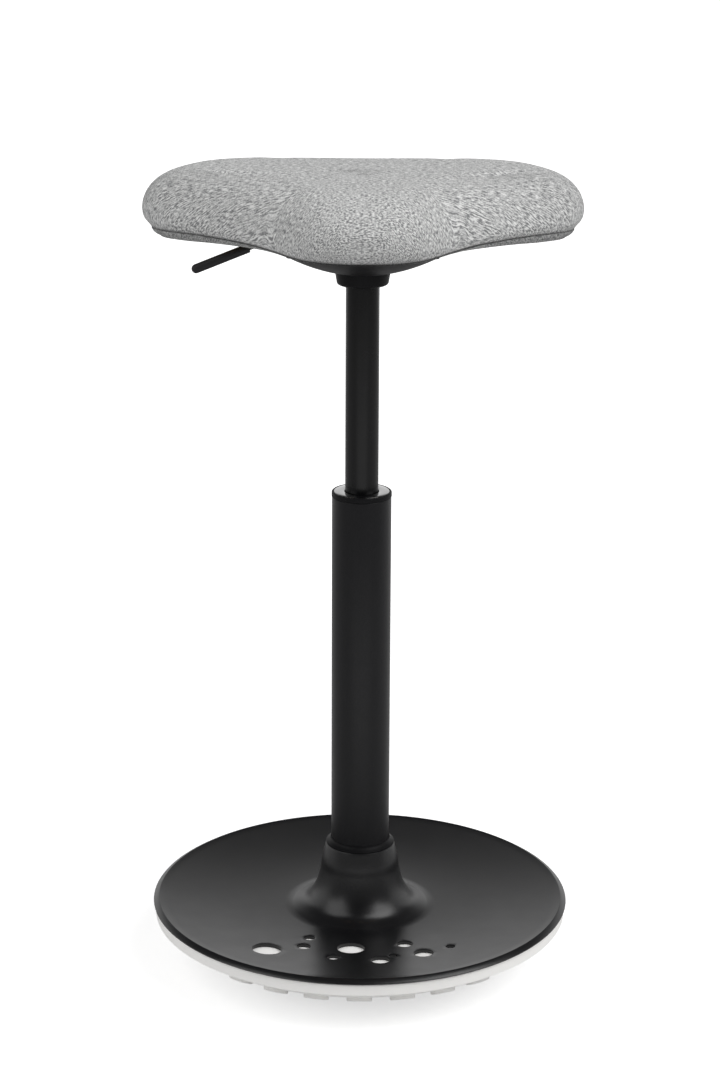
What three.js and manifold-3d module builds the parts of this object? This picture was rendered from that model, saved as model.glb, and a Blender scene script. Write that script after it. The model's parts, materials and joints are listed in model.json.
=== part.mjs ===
// Wobble stool: a gas-lift column between a weighted rocking base and an upholstered saddle seat.
// Millimetres, +Z up, nose of the seat towards -Y. The origin is on the floor under the column.

import * as THREE from 'three';
import { mergeVertices } from 'three/addons/utils/BufferGeometryUtils.js';
import Module from 'manifold-3d';

const wasm = await Module();
wasm.setup();

// Fits shared by all pieces
const seatGap = 0.3;
const overrun = 2;
const weldTolerance = 0.0001;

// Rocking base: its rings lie at shares of the base radius, and its rims at fixed widths
const baseRadius = 180;
const dishEdgeHeight = 52;
const dishRimWidth = 4.5;
const dishLipHeight = 55.6;
const dishLipRound = 1.6;
const dishFloorShare = 1 / 3;
const dishFloorHeight = 45;
const dishWall = 3;
const trumpetTopRadius = 29.5;
const trumpetTopHeight = 103;
const rollFlatShare = 0.25;
const rollEdgeRise = 38.45;
const soleWall = 5;
const soleSetback = 1.8;
const soleLedgeWidth = 6.3;
const trayWall = 3;
const trayRimWidth = 7.2;
const nubRadiusShare = 0.0583;
const nubPitchShare = 0.2056;
const nubHeight = 3;

// Ballast casting
const ballastShare = 0.639;
const ballastScrewShare = 0.472;
const ballastTopHeight = 36;
const ballastBoreRadius = 14;

// Column
const tubeRadius = 25;
const tubeWall = 2;
const tubeFootHeight = 40;
const tubeTaperHeight = 98;
const tubeFootRadius = 23.4;
const tubeTopHeight = 415.4;
const tubeFloorWall = 3;
const capFlangeRadius = 25.3;
const capFlangeWall = 2.2;
const capRise = 2.4;
const cylinderRadius = 14;
const cylinderWall = 2;
const guideLength = 92;
const rodRadius = 5;
const rodEndRadius = 4;

// Seat heights are counted up from the underside of the collar
const bareColumn = 176;
const columnInsideTube = 120;
const collarRadius = 22.9;
const collarFootRadius = 21.5;
const collarHeight = 22.9;
const collarFloorWall = 2;
const bowlRadius = 79;
const bowlSetback = 9;
const bowlRise = 25.5;
const bowlWall = 2.5;
const panAboveCollar = 44;
const panWall = 10;

// Seat pad
const seatHalfWidth = 176;
const seatNoseReach = 121;
const seatBackReach = 114;
const padBulge = 8;
const padHeight = 50;
const creaseDrop = 5;
const hemDrop = 9.5;
const noseTuck = 9;
const coverWall = 2;
const panInset = 9.5;

// Release lever
const leverPivotOffset = 28;
const leverHeight = 34;
const leverRodRadius = 2.2;
const leverBendOffset = 80;
const leverReach = 137.5;
const leverFall = THREE.MathUtils.degToRad(22.7);
const leverYaw = THREE.MathUtils.degToRad(4.5);

// Heights that the seat group shares
const capTopHeight = tubeTopHeight + capFlangeWall + capRise;
const collarFoot = capTopHeight + bareColumn;
const panFoot = collarFoot + panAboveCollar;
const plateFoot = collarFoot + collarHeight + seatGap * 2;

// Facet counts
const largeFacets = 36;
const mediumFacets = 20;
const smallFacets = 14;
const tinyFacets = 8;
const outlineFacets = 36;

const stool = new THREE.Group();

// Finishes
const finishes = {
  dish: new THREE.MeshStandardMaterial({ color: '#1c1c1d', roughness: 0.42, metalness: 0 }),
  sole: new THREE.MeshStandardMaterial({ color: '#e9e8e4', roughness: 0.7, metalness: 0 }),
  iron: new THREE.MeshStandardMaterial({ color: '#3f3d3a', roughness: 0.8, metalness: 0.6 }),
  powder: new THREE.MeshStandardMaterial({ color: '#2b2b2c', roughness: 0.6, metalness: 0.2 }),
  satin: new THREE.MeshStandardMaterial({ color: '#1a1a1b', roughness: 0.35, metalness: 0.3 }),
  steel: new THREE.MeshStandardMaterial({ color: '#b3b5b7', roughness: 0.3, metalness: 1 }),
  plastic: new THREE.MeshStandardMaterial({ color: '#171718', roughness: 0.5, metalness: 0 }),
  natural: new THREE.MeshStandardMaterial({ color: '#e6e1d3', roughness: 0.5, metalness: 0 }),
  rubber: new THREE.MeshStandardMaterial({ color: '#202020', roughness: 0.85, metalness: 0 }),
  plywood: new THREE.MeshStandardMaterial({ color: '#c8a878', roughness: 0.7, metalness: 0 }),
  foam: new THREE.MeshStandardMaterial({ color: '#e5dfc9', roughness: 0.95, metalness: 0 }),
  fabric: new THREE.MeshStandardMaterial({ color: '#a9aaab', roughness: 0.95, metalness: 0 }),
};

// Mesh tools

function weld(geometry) {
  const bare = geometry.clone();
  bare.deleteAttribute('normal');
  bare.deleteAttribute('uv');
  const merged = mergeVertices(bare, weldTolerance);
  const corners = merged.index.array;
  const kept = [];
  for (let i = 0; i < corners.length; i += 3) {
    const [a, b, c] = [corners[i], corners[i + 1], corners[i + 2]];
    if (a !== b && b !== c && c !== a) kept.push(a, b, c);
  }
  merged.setIndex(kept);
  return merged;
}

function toSolid(geometry) {
  const welded = weld(geometry);
  return new wasm.Manifold(new wasm.Mesh({
    numProp: 3,
    vertProperties: new Float32Array(welded.attributes.position.array),
    triVerts: new Uint32Array(welded.index.array),
  }));
}

function fromSolid(solid) {
  const mesh = solid.getMesh();
  const geometry = new THREE.BufferGeometry();
  geometry.setAttribute('position', new THREE.BufferAttribute(new Float32Array(mesh.vertProperties), 3));
  geometry.setIndex(new THREE.BufferAttribute(new Uint32Array(mesh.triVerts), 1));
  return geometry;
}

function cut(body, tools) {
  return fromSolid(tools.reduce((solid, tool) => solid.subtract(toSolid(tool)), toSolid(body)));
}

function join(body, additions) {
  return fromSolid(additions.reduce((solid, piece) => solid.add(toSolid(piece)), toSolid(body)));
}

function place(name, geometry, finish, parent = stool) {
  const welded = weld(geometry);
  welded.computeVertexNormals();
  const mesh = new THREE.Mesh(welded, finish);
  mesh.name = name;
  parent.add(mesh);
  return mesh;
}

// A closed profile of [radius, height] pairs, turned about the column axis
function revolve(profile, facets) {
  const points = profile.map(([radius, height]) => new THREE.Vector2(radius, height));
  if (THREE.ShapeUtils.area(points) < 0) points.reverse();
  points.push(points[0].clone());
  return new THREE.LatheGeometry(points, facets).rotateX(Math.PI / 2);
}

function ring(innerRadius, outerRadius, foot, top, facets) {
  return revolve([[innerRadius, foot], [outerRadius, foot], [outerRadius, top], [innerRadius, top]], facets);
}

// An upright cylinder between two heights
function post(radius, foot, top, facets, x = 0, y = 0) {
  const geometry = new THREE.CylinderGeometry(radius, radius, top - foot, facets);
  return geometry.rotateX(Math.PI / 2).translate(x, y, (foot + top) / 2);
}

function around(count, radius, firstAngle, make) {
  return Array.from({ length: count }, (unused, i) => {
    const angle = firstAngle + (i * 2 * Math.PI) / count;
    return make(radius * Math.cos(angle), radius * Math.sin(angle), angle);
  });
}

// Identical pieces, each a node of its own with its number behind the name
function placeSet(name, geometries, finish) {
  geometries.forEach((geometry, i) => place(`${name}_${i + 1}`, geometry, finish));
}

// Rocking base: its radii, and the heights of its nested surfaces

const dishLipRadius = baseRadius - dishRimWidth;
const dishFloorRadius = dishFloorShare * baseRadius;
const soleRadius = baseRadius - soleSetback;
const trayRadius = soleRadius - trayRimWidth;
const nubRadius = nubRadiusShare * baseRadius;
const ballastRadius = ballastShare * baseRadius;
const ballastScrewRadius = ballastScrewShare * baseRadius;

// The rolling surface is level in the middle, and its arc climbs to the rim in the run that is left
const rollFlatRadius = rollFlatShare * baseRadius;
const rollRun = soleRadius - rollFlatRadius;
const rollArcRadius = (rollRun ** 2 + rollEdgeRise ** 2) / (2 * rollEdgeRise);

// Rise of the rolling surface, or of one nested above it, at a radius
function rollRise(radius, setIn) {
  const arc = rollArcRadius - setIn;
  const out = Math.max(0, radius - rollFlatRadius);
  return rollArcRadius - Math.sqrt(arc * arc - out * out);
}

// Rings of nubs, and the profile steps of the sole, which lie between the rings
const nubRingShares = [0.64, 0.835];
const nubRings = nubRingShares.map((share) => share * baseRadius);
const ringSpace = nubRings[1] - nubRings[0];
const rollSteps = [
  rollFlatRadius, nubRings[0] - ringSpace, ...nubRings.map((radius) => radius - ringSpace / 2),
  nubRings.at(-1) + ringSpace / 2,
  soleRadius,
];

// The same rise on the straight runs between the profile steps
function soleRise(radius, setIn) {
  const above = rollSteps.findIndex((step) => step > radius);
  if (above < 1) return rollRise(radius, setIn);
  const [near, far] = [rollSteps[above - 1], rollSteps[above]];
  const share = (radius - near) / (far - near);
  return rollRise(near, setIn) * (1 - share) + rollRise(far, setIn) * share;
}

// Radial and height shares of the trumpet that blends the column into the dish
const trumpetShares = [
  [0, 1], [0.11, 0.76], [0.15, 0.594], [0.266, 0.363], [0.41, 0.21], [0.603, 0.087], [1, 0],
];
const dishCurve = 1.7;

function dishHeight(radius) {
  const run = (radius - dishFloorRadius) / (dishLipRadius - dishFloorRadius);
  return dishFloorHeight + (dishLipHeight - dishFloorHeight) * Math.max(0, run) ** dishCurve;
}

function radiiBetween(inner, outer, steps) {
  return Array.from({ length: steps + 1 }, (unused, i) => inner + ((outer - inner) * i) / steps);
}

const dishSteps = 3;

const dishRadii = radiiBetween(dishFloorRadius, dishLipRadius - dishLipRound, dishSteps);

const dishUpper = [
  ...trumpetShares.map(([across, up]) => [
    trumpetTopRadius + across * (dishFloorRadius - trumpetTopRadius),
    dishFloorHeight + up * (trumpetTopHeight - dishFloorHeight),
  ]),
  ...dishRadii.slice(1).map((radius) => [radius, dishHeight(radius)]),
];

// The underside keeps the wall square to the surface
const dishLower = dishUpper.map(([radius, height], i) => {
  const [r0, h0] = dishUpper[Math.max(0, i - 1)];
  const [r1, h1] = dishUpper[Math.min(dishUpper.length - 1, i + 1)];
  const length = Math.hypot(r1 - r0, h1 - h0);
  return [radius + (dishWall * (h1 - h0)) / length, height - (dishWall * (r1 - r0)) / length];
});
dishLower[0] = [trumpetTopRadius - dishWall, trumpetTopHeight];

function dishGeometry() {
  const rim = [
    [dishLipRadius + dishLipRound / 2, dishLipHeight - dishLipRound / 2],
    [baseRadius - dishLipRound / 2, dishEdgeHeight + dishLipRound],
    [baseRadius, dishEdgeHeight + dishLipRound / 2],
    [baseRadius - dishLipRound / 2, dishEdgeHeight],
    [baseRadius - dishWall, dishEdgeHeight],
  ];
  return revolve([...dishUpper, ...rim, ...dishLower.slice().reverse()], largeFacets);
}

// Bubble holes at the front: shares of the base radius for place across, place back and radius
const bubbleShares = [
  [-0.237, -0.424, 0.028], [0.212, -0.493, 0.038], [-0.261, -0.533, 0.033], [-0.04, -0.543, 0.065],
  [-0.121, -0.665, 0.031], [0.097, -0.699, 0.046], [0.155, -0.642, 0.021], [0.299, -0.618, 0.047],
  [0.426, -0.547, 0.023], [-0.432, -0.594, 0.07],
];

const soleScrewCount = 4;
const soleScrewRadius = (nubRings[0] + nubRings[1]) / 2;
const soleBossRadius = 5.5;
const soleScrewShank = 2.2;
const soleScrewHead = 4.2;
const soleScrewHeadWall = 2.6;
const soleScrewLength = 22;
const ballastScrewCount = 4;
const ballastBossRadius = 6.5;
const ballastBossDepth = 8;
const ballastScrewShank = 2.6;
const ballastScrewHead = 5;
const ballastScrewHeadWall = 3.6;
const boreRoof = 2.5;
const screwTurn = 0;
const facetRoom = 0.5;

const soleBossFoot = soleRise(soleScrewRadius + soleBossRadius, nubHeight + soleWall) + facetRoom;
const ballastBossFoot = ballastTopHeight - ballastBossDepth + seatGap;

function makeDish() {
  const soleRoof = dishHeight(soleScrewRadius) - dishWall;
  const ballastRoof = dishHeight(ballastScrewRadius) - dishWall;
  const bosses = [
    ...around(soleScrewCount, soleScrewRadius, screwTurn, (x, y) =>
      post(soleBossRadius, soleBossFoot, soleRoof + dishWall / 2, tinyFacets, x, y)),
    ...around(ballastScrewCount, ballastScrewRadius, Math.PI / 4, (x, y) =>
      post(ballastBossRadius, ballastBossFoot, ballastRoof + dishWall / 2, tinyFacets, x, y)),
  ];
  const bores = [
    ...around(soleScrewCount, soleScrewRadius, screwTurn, (x, y) =>
      post(soleScrewShank + seatGap, soleBossFoot - overrun, soleRoof - boreRoof, tinyFacets, x, y)),
    ...around(ballastScrewCount, ballastScrewRadius, Math.PI / 4, (x, y) =>
      post(ballastScrewShank + seatGap, ballastBossFoot - overrun, ballastRoof, tinyFacets, x, y)),
  ];
  const bubbles = bubbleShares.map(([across, back, size]) =>
    post(size * baseRadius, dishEdgeHeight - dishLipHeight, dishLipHeight + overrun, smallFacets,
      across * baseRadius, back * baseRadius));
  place('base_dish', cut(join(dishGeometry(), bosses), [...bubbles, ...bores]), finishes.dish);
}

// White tray that lies under the dish and shows through its bubble holes
const trayInnerGap = 4;
const trayHoleGap = 0.8;

// Height of the tray's underside, on the dish's straight runs
function trayFoot(radius) {
  return dishHeight(radius) - dishWall - facetRoom - trayWall;
}

function makeTray() {
  const radii = [dishFloorRadius + trayInnerGap, ...dishRadii.slice(1, -1), trayRadius];
  const upper = radii.map((radius) => [radius, trayFoot(radius) + trayWall]);
  const lower = radii.map((radius) => [radius, trayFoot(radius)]);
  const body = revolve([...upper, ...lower.reverse()], largeFacets);
  const holes = [
    ...around(soleScrewCount, soleScrewRadius, screwTurn, (x, y) =>
      post(soleBossRadius + trayHoleGap, 0, dishLipHeight, tinyFacets, x, y)),
    ...around(ballastScrewCount, ballastScrewRadius, Math.PI / 4, (x, y) =>
      post(ballastBossRadius + trayHoleGap, 0, dishLipHeight, tinyFacets, x, y)),
  ];
  place('rocker_tray', cut(body, holes), finishes.sole);
}

// A round nub whose end lies on the rolling surface
function nub(radius, angle) {
  const tilt = Math.asin((radius - rollFlatRadius) / rollArcRadius);
  const length = nubHeight + soleWall / 2;
  const disc = new THREE.CylinderGeometry(nubRadius, nubRadius, length, tinyFacets);
  disc.rotateX(Math.PI / 2).translate(0, 0, length / 2).rotateY(-tilt);
  return disc.translate(radius, 0, rollRise(radius, 0)).rotateZ(angle);
}

function makeSole() {
  const ledgeRadius = trayRadius + seatGap - soleLedgeWidth;
  const ledgeHeight = trayFoot(ledgeRadius) - seatGap;
  const inner = [...rollSteps.filter((radius) => radius < ledgeRadius), ledgeRadius];
  const rimTop = dishEdgeHeight - seatGap;
  const profile = [
    [0, 0],
    [rollFlatRadius - nubHeight, 0],
    ...rollSteps.map((radius) => [radius, rollRise(radius, nubHeight)]),
    [soleRadius, rimTop - dishLipRound / 2],
    [soleRadius - dishLipRound / 2, rimTop],
    [trayRadius + seatGap, rimTop],
    [trayRadius + seatGap, ledgeHeight],
    [ledgeRadius, ledgeHeight],
    ...inner.reverse().map((radius) => [radius, soleRise(radius, nubHeight + soleWall)]),
    [0, nubHeight + soleWall],
  ];
  const nubs = nubRings.flatMap((radius) => {
    const count = Math.round((2 * Math.PI * radius) / (nubPitchShare * baseRadius));
    return around(count, radius, -Math.PI / 2, (x, y, angle) => nub(radius, angle));
  });
  const screwSeat = soleScrewSeat();
  const recesses = around(soleScrewCount, soleScrewRadius, screwTurn, (x, y) =>
    post(soleScrewHead + seatGap * 2, 0, screwSeat + seatGap, tinyFacets, x, y));
  const holes = around(soleScrewCount, soleScrewRadius, screwTurn, (x, y) =>
    post(soleScrewShank + seatGap * 2, 0, dishEdgeHeight, tinyFacets, x, y));
  // The screws' recesses stand between two rings of nubs
  place('rocker_sole', cut(join(revolve(profile, largeFacets), nubs), [...recesses, ...holes]),
    finishes.sole);
}

function screw(x, y, seat, headRadius, headWall, shankRadius, tip) {
  return join(post(headRadius, seat - headWall, seat, tinyFacets, x, y),
    [post(shankRadius, seat - headWall / 2, tip, tinyFacets, x, y)]);
}

function soleScrewSeat() {
  return soleRise(soleScrewRadius, nubHeight + soleWall / 2);
}

function makeBaseScrews() {
  const soleSeat = soleScrewSeat() - seatGap;
  placeSet('sole_screw', around(soleScrewCount, soleScrewRadius, screwTurn, (x, y) =>
    screw(x, y, soleSeat, soleScrewHead, soleScrewHeadWall, soleScrewShank, soleSeat + soleScrewLength)),
  finishes.steel);
  const ballastSeat = ballastScrewSeat() - seatGap;
  const tip = dishHeight(ballastScrewRadius) - dishWall - seatGap * 2;
  placeSet('ballast_screw', around(ballastScrewCount, ballastScrewRadius, Math.PI / 4, (x, y) =>
    screw(x, y, ballastSeat, ballastScrewHead, ballastScrewHeadWall, ballastScrewShank, tip)),
  finishes.steel);
}

function ballastUnderside(radius) {
  return soleRise(radius, nubHeight + soleWall) + facetRoom;
}

function ballastScrewSeat() {
  return ballastUnderside(ballastScrewRadius + ballastScrewHead) + ballastScrewHeadWall + seatGap;
}

// Radius of the tube's tapered foot at a height
function tubeOuter(height) {
  const share = Math.min(1, (height - tubeFootHeight) / (tubeTaperHeight - tubeFootHeight));
  return tubeFootRadius + share * (tubeRadius - tubeFootRadius);
}

function makeBallast() {
  // The hub follows the inside of the trumpet
  const hub = dishLower.slice(1, trumpetShares.length - 1)
    .map(([radius, height]) => [radius - facetRoom, height - facetRoom]);
  const socketTop = hub[0][1];
  const bottom = [...rollSteps.filter((radius) => radius < ballastRadius), ballastRadius];
  const profile = [
    [ballastBoreRadius, ballastUnderside(0)],
    ...bottom.map((radius) => [radius, ballastUnderside(radius)]),
    [ballastRadius, ballastTopHeight - dishWall],
    [ballastRadius - dishWall, ballastTopHeight],
    [dishFloorRadius - dishWall, ballastTopHeight],
    ...hub.reverse(),
    [tubeOuter(socketTop) + seatGap, socketTop],
    [tubeFootRadius + seatGap, tubeFootHeight - seatGap],
    [ballastBoreRadius, tubeFootHeight - seatGap],
  ];
  const holes = around(ballastScrewCount, ballastScrewRadius, Math.PI / 4, (x, y) => [
    post(ballastBossRadius + seatGap, ballastTopHeight - ballastBossDepth, ballastTopHeight + overrun,
      tinyFacets, x, y),
    post(ballastScrewShank + seatGap, 0, ballastTopHeight, tinyFacets, x, y),
    post(ballastScrewHead + seatGap * 2, 0, ballastScrewSeat(), tinyFacets, x, y),
  ]).flat();
  place('ballast_casting', cut(revolve(profile, mediumFacets), holes), finishes.iron);
}

// Column

const footRingWall = 0.8;
const footRingRise = 4.2;

function makeFootRing() {
  const foot = trumpetTopHeight + seatGap;
  place('foot_ring', revolve([
    [tubeRadius + seatGap, foot],
    [trumpetTopRadius, foot],
    [trumpetTopRadius, foot + footRingWall],
    [tubeRadius + seatGap * 2, foot + footRingWall + footRingRise],
    [tubeRadius + seatGap, foot + footRingWall + footRingRise],
  ], mediumFacets), finishes.plastic);
}

function makeTube() {
  place('stand_tube', revolve([
    [rodEndRadius + seatGap, tubeFootHeight],
    [tubeFootRadius, tubeFootHeight],
    [tubeRadius, tubeTaperHeight],
    [tubeRadius, tubeTopHeight],
    [tubeRadius - tubeWall, tubeTopHeight],
    [tubeRadius - tubeWall, tubeTaperHeight],
    [tubeFootRadius - tubeWall, tubeFootHeight + tubeFloorWall],
    [rodEndRadius + seatGap, tubeFootHeight + tubeFloorWall],
  ], mediumFacets), finishes.powder);
}

const capShoulderRadius = 17;
const guideNeckRadius = 15.6;
const guideLip = 1.4;
const capSpigot = 12;

function makeTubeTop() {
  const flangeFoot = tubeTopHeight + seatGap;
  const insideRadius = tubeRadius - tubeWall - seatGap;
  place('tube_cap', revolve([
    [guideNeckRadius + seatGap, flangeFoot - capSpigot],
    [insideRadius, flangeFoot - capSpigot],
    [insideRadius, flangeFoot],
    [capFlangeRadius, flangeFoot],
    [capFlangeRadius, tubeTopHeight + capFlangeWall],
    [capShoulderRadius, capTopHeight],
    [guideNeckRadius + seatGap, capTopHeight],
  ], mediumFacets), finishes.plastic);
  const sleeveTop = flangeFoot - capSpigot - seatGap;
  place('guide_sleeve', revolve([
    [cylinderRadius + seatGap, sleeveTop - guideLength + capSpigot],
    [insideRadius, sleeveTop - guideLength + capSpigot],
    [insideRadius, sleeveTop],
    [guideNeckRadius, sleeveTop],
    [guideNeckRadius, capTopHeight + guideLip],
    [cylinderRadius + seatGap, capTopHeight + guideLip],
  ], mediumFacets), finishes.plastic);
}

// Thrust bearing on the tube's floor, stacked upwards
const raceRadius = 13;
const raceWall = 1.7;
const ballRadius = 1.9;
const ballCount = 6;
const ballPitchRadius = 9;
const cageWall = 1.4;
const clipRadius = 8;
const clipWall = 1.5;
const clipGrooveRadius = 3;
const washerWall = 1.3;
const bumpStopRadius = 12;
const bumpStopHeight = 11;
const rodTail = 3;

const raceFoot = tubeFootHeight + tubeFloorWall + seatGap;
const ballCentre = raceFoot + raceWall + seatGap + ballRadius;
const upperRaceFoot = ballCentre + ballRadius + seatGap;
const rodStep = upperRaceFoot + raceWall + seatGap;
const washerTop = tubeFootHeight - seatGap;
const clipTop = washerTop - washerWall - seatGap;

function makeBearing() {
  const shaft = rodEndRadius + seatGap;
  place('bearing_race_lower', ring(shaft, raceRadius, raceFoot, raceFoot + raceWall, smallFacets),
    finishes.steel);
  // The balls are snapped into their cage, and both turn as one piece
  const balls = around(ballCount, ballPitchRadius, 0, (x, y) =>
    new THREE.OctahedronGeometry(ballRadius, 1).translate(x, y, ballCentre));
  const cage = ring(shaft, raceRadius, ballCentre - cageWall / 2, ballCentre + cageWall / 2, smallFacets);
  place('bearing_cage', join(cage, balls), finishes.steel);
  place('bearing_race_upper', ring(shaft, raceRadius, upperRaceFoot, upperRaceFoot + raceWall, smallFacets),
    finishes.steel);
  place('floor_washer', ring(shaft, raceRadius - raceWall, washerTop - washerWall, washerTop, smallFacets),
    finishes.steel);
  place('retaining_clip', ring(clipGrooveRadius + seatGap, clipRadius, clipTop - clipWall, clipTop,
    smallFacets), finishes.steel);
}

const cylinderFoot = collarFoot - bareColumn - columnInsideTube;
const crimpWall = 2;
const crimpRadius = 9;
const rodGuideLength = 18;
const pistonRise = 60;
const pistonFoot = cylinderFoot + pistonRise;
const pistonWall = 10;
const rodNut = 2;

function makePiston() {
  const bumpFoot = rodStep + seatGap;
  place('bump_stop', ring(rodRadius + seatGap, bumpStopRadius, bumpFoot, bumpFoot + bumpStopHeight,
    smallFacets), finishes.rubber);
  place('piston_rod', revolve([
    [0, clipTop - clipWall - rodTail],
    [rodEndRadius, clipTop - clipWall - rodTail],
    [rodEndRadius, clipTop - clipWall - seatGap],
    [clipGrooveRadius, clipTop - clipWall - seatGap],
    [clipGrooveRadius, clipTop + seatGap],
    [rodEndRadius, clipTop + seatGap],
    [rodEndRadius, rodStep],
    [rodRadius, rodStep],
    [rodRadius, pistonFoot],
    [rodEndRadius, pistonFoot],
    [rodEndRadius, pistonFoot + pistonWall + rodNut],
    [0, pistonFoot + pistonWall + rodNut],
  ], smallFacets), finishes.steel);
  place('piston_head', ring(rodEndRadius + seatGap, cylinderRadius - cylinderWall - seatGap,
    pistonFoot + seatGap, pistonFoot + pistonWall, smallFacets), finishes.natural);
}

// Gas cylinder with its tapered head
const headTaper = THREE.MathUtils.degToRad(1.43);
const taperFoot = collarFoot + collarFloorWall;
const headAboveCollar = 22;
const cylinderHead = collarFoot + headAboveCollar;
const headWall = 10;
const pinRadius = 3.5;
const pinTipRadius = 1.6;
const pinChamfer = 1;
const pinBelowHead = 20;
const taperedRadius = cylinderRadius - (cylinderHead - taperFoot) * Math.tan(headTaper);
const headChamfer = 0.8;

function makeCylinder() {
  place('gas_cylinder', revolve([
    [crimpRadius, cylinderFoot],
    [cylinderRadius, cylinderFoot],
    [cylinderRadius, taperFoot],
    [taperedRadius, cylinderHead - headChamfer],
    [taperedRadius - headChamfer, cylinderHead],
    [pinRadius + seatGap, cylinderHead],
    [pinRadius + seatGap, cylinderHead - headWall],
    [cylinderRadius - cylinderWall, cylinderHead - headWall],
    [cylinderRadius - cylinderWall, cylinderFoot + crimpWall],
    [crimpRadius, cylinderFoot + crimpWall],
  ], mediumFacets), finishes.satin);
  const guideFoot = cylinderFoot + crimpWall + seatGap;
  place('rod_guide', ring(rodRadius + seatGap, cylinderRadius - cylinderWall - seatGap, guideFoot,
    guideFoot + rodGuideLength, smallFacets), finishes.natural);
  const pinTop = collarFoot + leverHeight - leverRodRadius - seatGap;
  place('release_pin', revolve([
    [0, cylinderHead - pinBelowHead],
    [pinRadius, cylinderHead - pinBelowHead],
    [pinRadius, pinTop - pinChamfer],
    [pinTipRadius, pinTop],
    [0, pinTop],
  ], smallFacets), finishes.steel);
}

// Mechanism under the seat
const hubWall = 3.6;
const collarWall = 2;
const collarRound = 2.4;
const roundShare = 0.3;
const collarVisible = 10.5;
const plateWall = 3;
const plateLength = 94;
const plateHalfWidth = 52;
const channelHalfWidth = 24;
const channelSlope = 7;
const plateHoleRadius = 9;
const boltOffsetX = 36;
const boltOffsetY = 41;
const boltRadius = 3;
const boltHeadRadius = 5;
const boltHeadWall = 3.6;

function makeHub() {
  const foot = taperFoot + seatGap * 2;
  const top = plateFoot - seatGap;
  const bore = (height) =>
    cylinderRadius - Math.max(0, height - taperFoot) * Math.tan(headTaper) + seatGap;
  place('taper_hub', revolve([
    [bore(foot), foot],
    [cylinderRadius + hubWall + seatGap, foot],
    [cylinderRadius + hubWall + seatGap, top],
    [bore(top), top],
  ], mediumFacets), finishes.steel);
  const inner = cylinderRadius + hubWall + seatGap * 3;
  place('collar_cup', revolve([
    [cylinderRadius + seatGap * 2, collarFoot],
    [collarFootRadius - collarRound, collarFoot],
    [collarFootRadius - collarRound * roundShare, collarFoot + collarRound * roundShare],
    [collarFootRadius, collarFoot + collarRound],
    [collarRadius, collarFoot + collarVisible],
    [collarRadius, collarFoot + collarHeight],
    [inner, collarFoot + collarHeight],
    [inner, taperFoot],
    [cylinderRadius + seatGap * 2, taperFoot],
  ], mediumFacets), finishes.plastic);
}

function makePlate() {
  const flangeTop = panFoot - seatGap;
  const flangeFoot = flangeTop - plateWall;
  const slopeEnd = channelHalfWidth + channelSlope;
  const half = [
    [channelHalfWidth, plateFoot], [slopeEnd, flangeFoot], [plateHalfWidth, flangeFoot],
    [plateHalfWidth, flangeTop], [slopeEnd - plateWall / 2, flangeTop],
    [channelHalfWidth - plateWall / 2, plateFoot + plateWall],
  ];
  const section = new THREE.Shape([
    ...half.map(([y, z]) => new THREE.Vector2(y, z)),
    ...half.slice().reverse().map(([y, z]) => new THREE.Vector2(-y, z)),
  ]);
  const body = new THREE.ExtrudeGeometry(section, { depth: plateLength, bevelEnabled: false, steps: 1 });
  body.translate(0, 0, -plateLength / 2).rotateX(Math.PI / 2).rotateZ(Math.PI / 2);
  const holes = [
    post(plateHoleRadius, plateFoot - overrun, plateFoot + plateWall + overrun, smallFacets),
    ...boltPlaces().map(([x, y]) =>
      post(boltRadius + seatGap, flangeFoot - overrun, flangeTop + overrun, tinyFacets, x, y)),
  ];
  place('mechanism_plate', cut(body, holes), finishes.powder);
}

function boltPlaces() {
  return [[1, 1], [-1, 1], [-1, -1], [1, -1]].map(([a, b]) => [a * boltOffsetX, b * boltOffsetY]);
}

const nutRadius = 4.4;
const nutFlangeRadius = 9;
const nutFlangeWall = 1.5;
const nutBarrel = 7.5;

function makeSeatFixings() {
  const headTop = panFoot - seatGap * 2 - plateWall;
  const flangeTop = panFoot + panWall - seatGap;
  const flangeFoot = flangeTop - nutFlangeWall;
  placeSet('seat_bolt', boltPlaces().map(([x, y]) =>
    screw(x, y, headTop, boltHeadRadius, boltHeadWall, boltRadius, flangeTop - seatGap)), finishes.steel);
  placeSet('tee_nut', boltPlaces().map(([x, y]) => cut(
    join(post(nutFlangeRadius, flangeFoot, flangeTop, tinyFacets, x, y),
      [post(nutRadius, flangeFoot - nutBarrel, flangeTop - nutFlangeWall / 2, tinyFacets, x, y)]),
    [post(boltRadius + seatGap, panFoot - overrun, flangeTop + overrun, tinyFacets, x, y)])),
  finishes.steel);
}

// Moulded bowl that hides the mechanism
const coverScrewCount = 3;
const coverScrewRadius = 66;
const coverBossRadius = 4.6;
const coverScrewShank = 1.6;
const coverScrewHead = 3.6;
const coverScrewHeadWall = 2;
const coverScrewDepth = 3.4;
const leverSlotHalfWidth = 8;
const leverSlotDrop = 10;
const leverSlotStart = 62;
const bowlSteps = 3;
const bowlTurn = Math.PI / 2;

function bowlHeight(radius) {
  return collarFoot + bowlSetback + bowlRise * (radius / bowlRadius) ** 2;
}

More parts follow.
